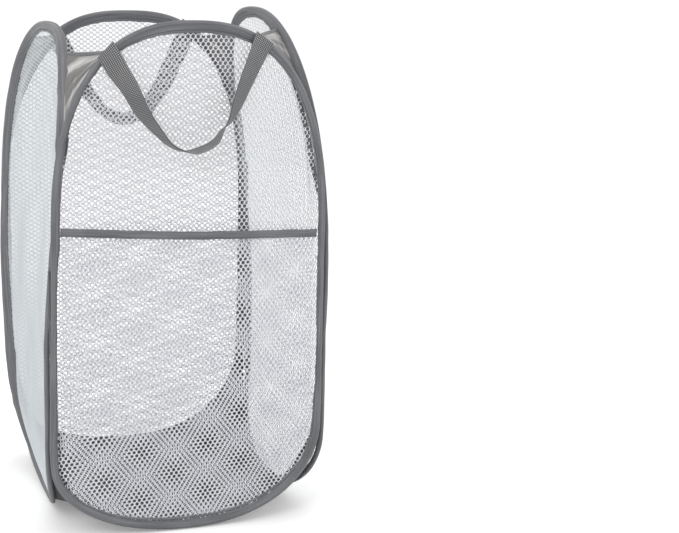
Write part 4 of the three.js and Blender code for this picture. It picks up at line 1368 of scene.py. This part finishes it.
# %% [markdown]
# ## Camera, lights and floor
#
# The camera looks a little down and from the left, with a long lens. Three large soft lamps and a
# pale world light the hamper evenly, so that a colour comes out about as it is written. The floor
# is a matt white sheet that keeps the soft shadow under the hamper. White cloth on a white ground
# needs the ground a little lighter than the light it gives, so the world is brighter in the rays
# that come straight or by a mirror from the camera, and the floor glows a little for the camera alone.

# %% Place the camera
PICTURE_WIDTH, FOCAL_PIXELS, SENSOR = 679, 1497.4, 36
CAMERA_SPOT = (-0.4254, -1.8453, 0.6739)
CAMERA_TURNS = (-20.008, 11.358, 1.367)  # azimuth, elevation and roll, in degrees


def make_camera():
    """A camera turned to its azimuth, elevation and roll."""
    azimuth, elevation, roll = (math.radians(v) for v in CAMERA_TURNS)
    flat = math.cos(elevation)
    forward = Vector((-math.sin(azimuth) * flat, math.cos(azimuth) * flat, -math.sin(elevation)))
    right = forward.cross(Vector((0, 0, 1))).normalized()
    up = right.cross(forward)
    tilted = math.cos(roll) * right + math.sin(roll) * up
    upright = math.cos(roll) * up - math.sin(roll) * right
    data = bpy.data.cameras.new("camera")
    data.sensor_width = SENSOR
    data.lens = FOCAL_PIXELS / PICTURE_WIDTH * SENSOR
    camera = in_scene("camera", data)
    axes = [(tilted[i], upright[i], -forward[i], CAMERA_SPOT[i]) for i in range(3)]
    camera.matrix_world = Matrix((*axes, (0, 0, 0, 1)))
    bpy.context.scene.camera = camera
    return camera


camera = make_camera()
print("lens:", round(camera.data.lens, 1), "mm")

# %% Light it
def lamp(name, spot, size, power):
    """A soft square lamp that points at the middle of the hamper."""
    data = bpy.data.lights.new(name, "AREA")
    data.shape, data.size, data.energy = "SQUARE", size, power
    obj = in_scene(name, data)
    obj.location = spot
    obj.rotation_euler = (Vector((0, 0, EYE)) - Vector(spot)).to_track_quat("-Z", "Y").to_euler()


lamp("key_lamp", (-1.6, -2.2, 2.4), 1.3, 30)
lamp("fill_lamp", (2.2, -1.4, 1.4), 1.8, 9)
lamp("top_lamp", (0, 0.3, 2.8), 1.8, 8)

WORLD_LIGHT, WORLD_EXTRA, FLOOR_GLOW = 0.88, 0.16, 0.24
world = bpy.data.worlds.new("studio")
bpy.context.scene.world = world
world.use_nodes = True
sky = world.node_tree.nodes["Background"]
sky.inputs["Color"].default_value = (1, 1, 1, 1)
paths = node(world, "ShaderNodeLightPath").outputs
seen = calc(world.node_tree, "MAXIMUM", paths["Is Camera Ray"], paths["Is Glossy Ray"])
seen = calc(world.node_tree, "MAXIMUM", seen, paths["Is Transmission Ray"])
strength = calc(world.node_tree, "MULTIPLY_ADD", seen, WORLD_EXTRA, WORLD_LIGHT)
join(world, strength, sky.inputs["Strength"])
print("lamps:", ", ".join(light.name for light in bpy.data.lights))

# %% Lay the floor
FLOOR_REACH, FLOOR_DROP = 3, 0.001  # it lies just under the hamper, so that the two don't fight
floor_white, floor_shader = finish("studio_floor", (0.9, 0.9, 0.9), 0.9)
floor_shader.inputs["Emission Color"].default_value = (1, 1, 1, 1)
camera_ray = node(floor_white, "ShaderNodeLightPath").outputs["Is Camera Ray"]
glow = calc(floor_white.node_tree, "MULTIPLY", camera_ray, FLOOR_GLOW)
join(floor_white, glow, floor_shader.inputs["Emission Strength"])
floor_mesh = bpy.data.meshes.new("studio_floor")
floor_corners = [(x * FLOOR_REACH, y * FLOOR_REACH, 0) for x, y in ((-1, -1), (1, -1), (1, 1), (-1, 1))]
floor_mesh.from_pydata(floor_corners, [], [(0, 1, 2, 3)])
floor_mesh.materials.append(floor_white)
studio_floor = in_scene("studio_floor", floor_mesh)
studio_floor.location.z = -FLOOR_DROP
bpy.context.scene.view_settings.view_transform = "Standard"
print("stage:", studio_floor.name)
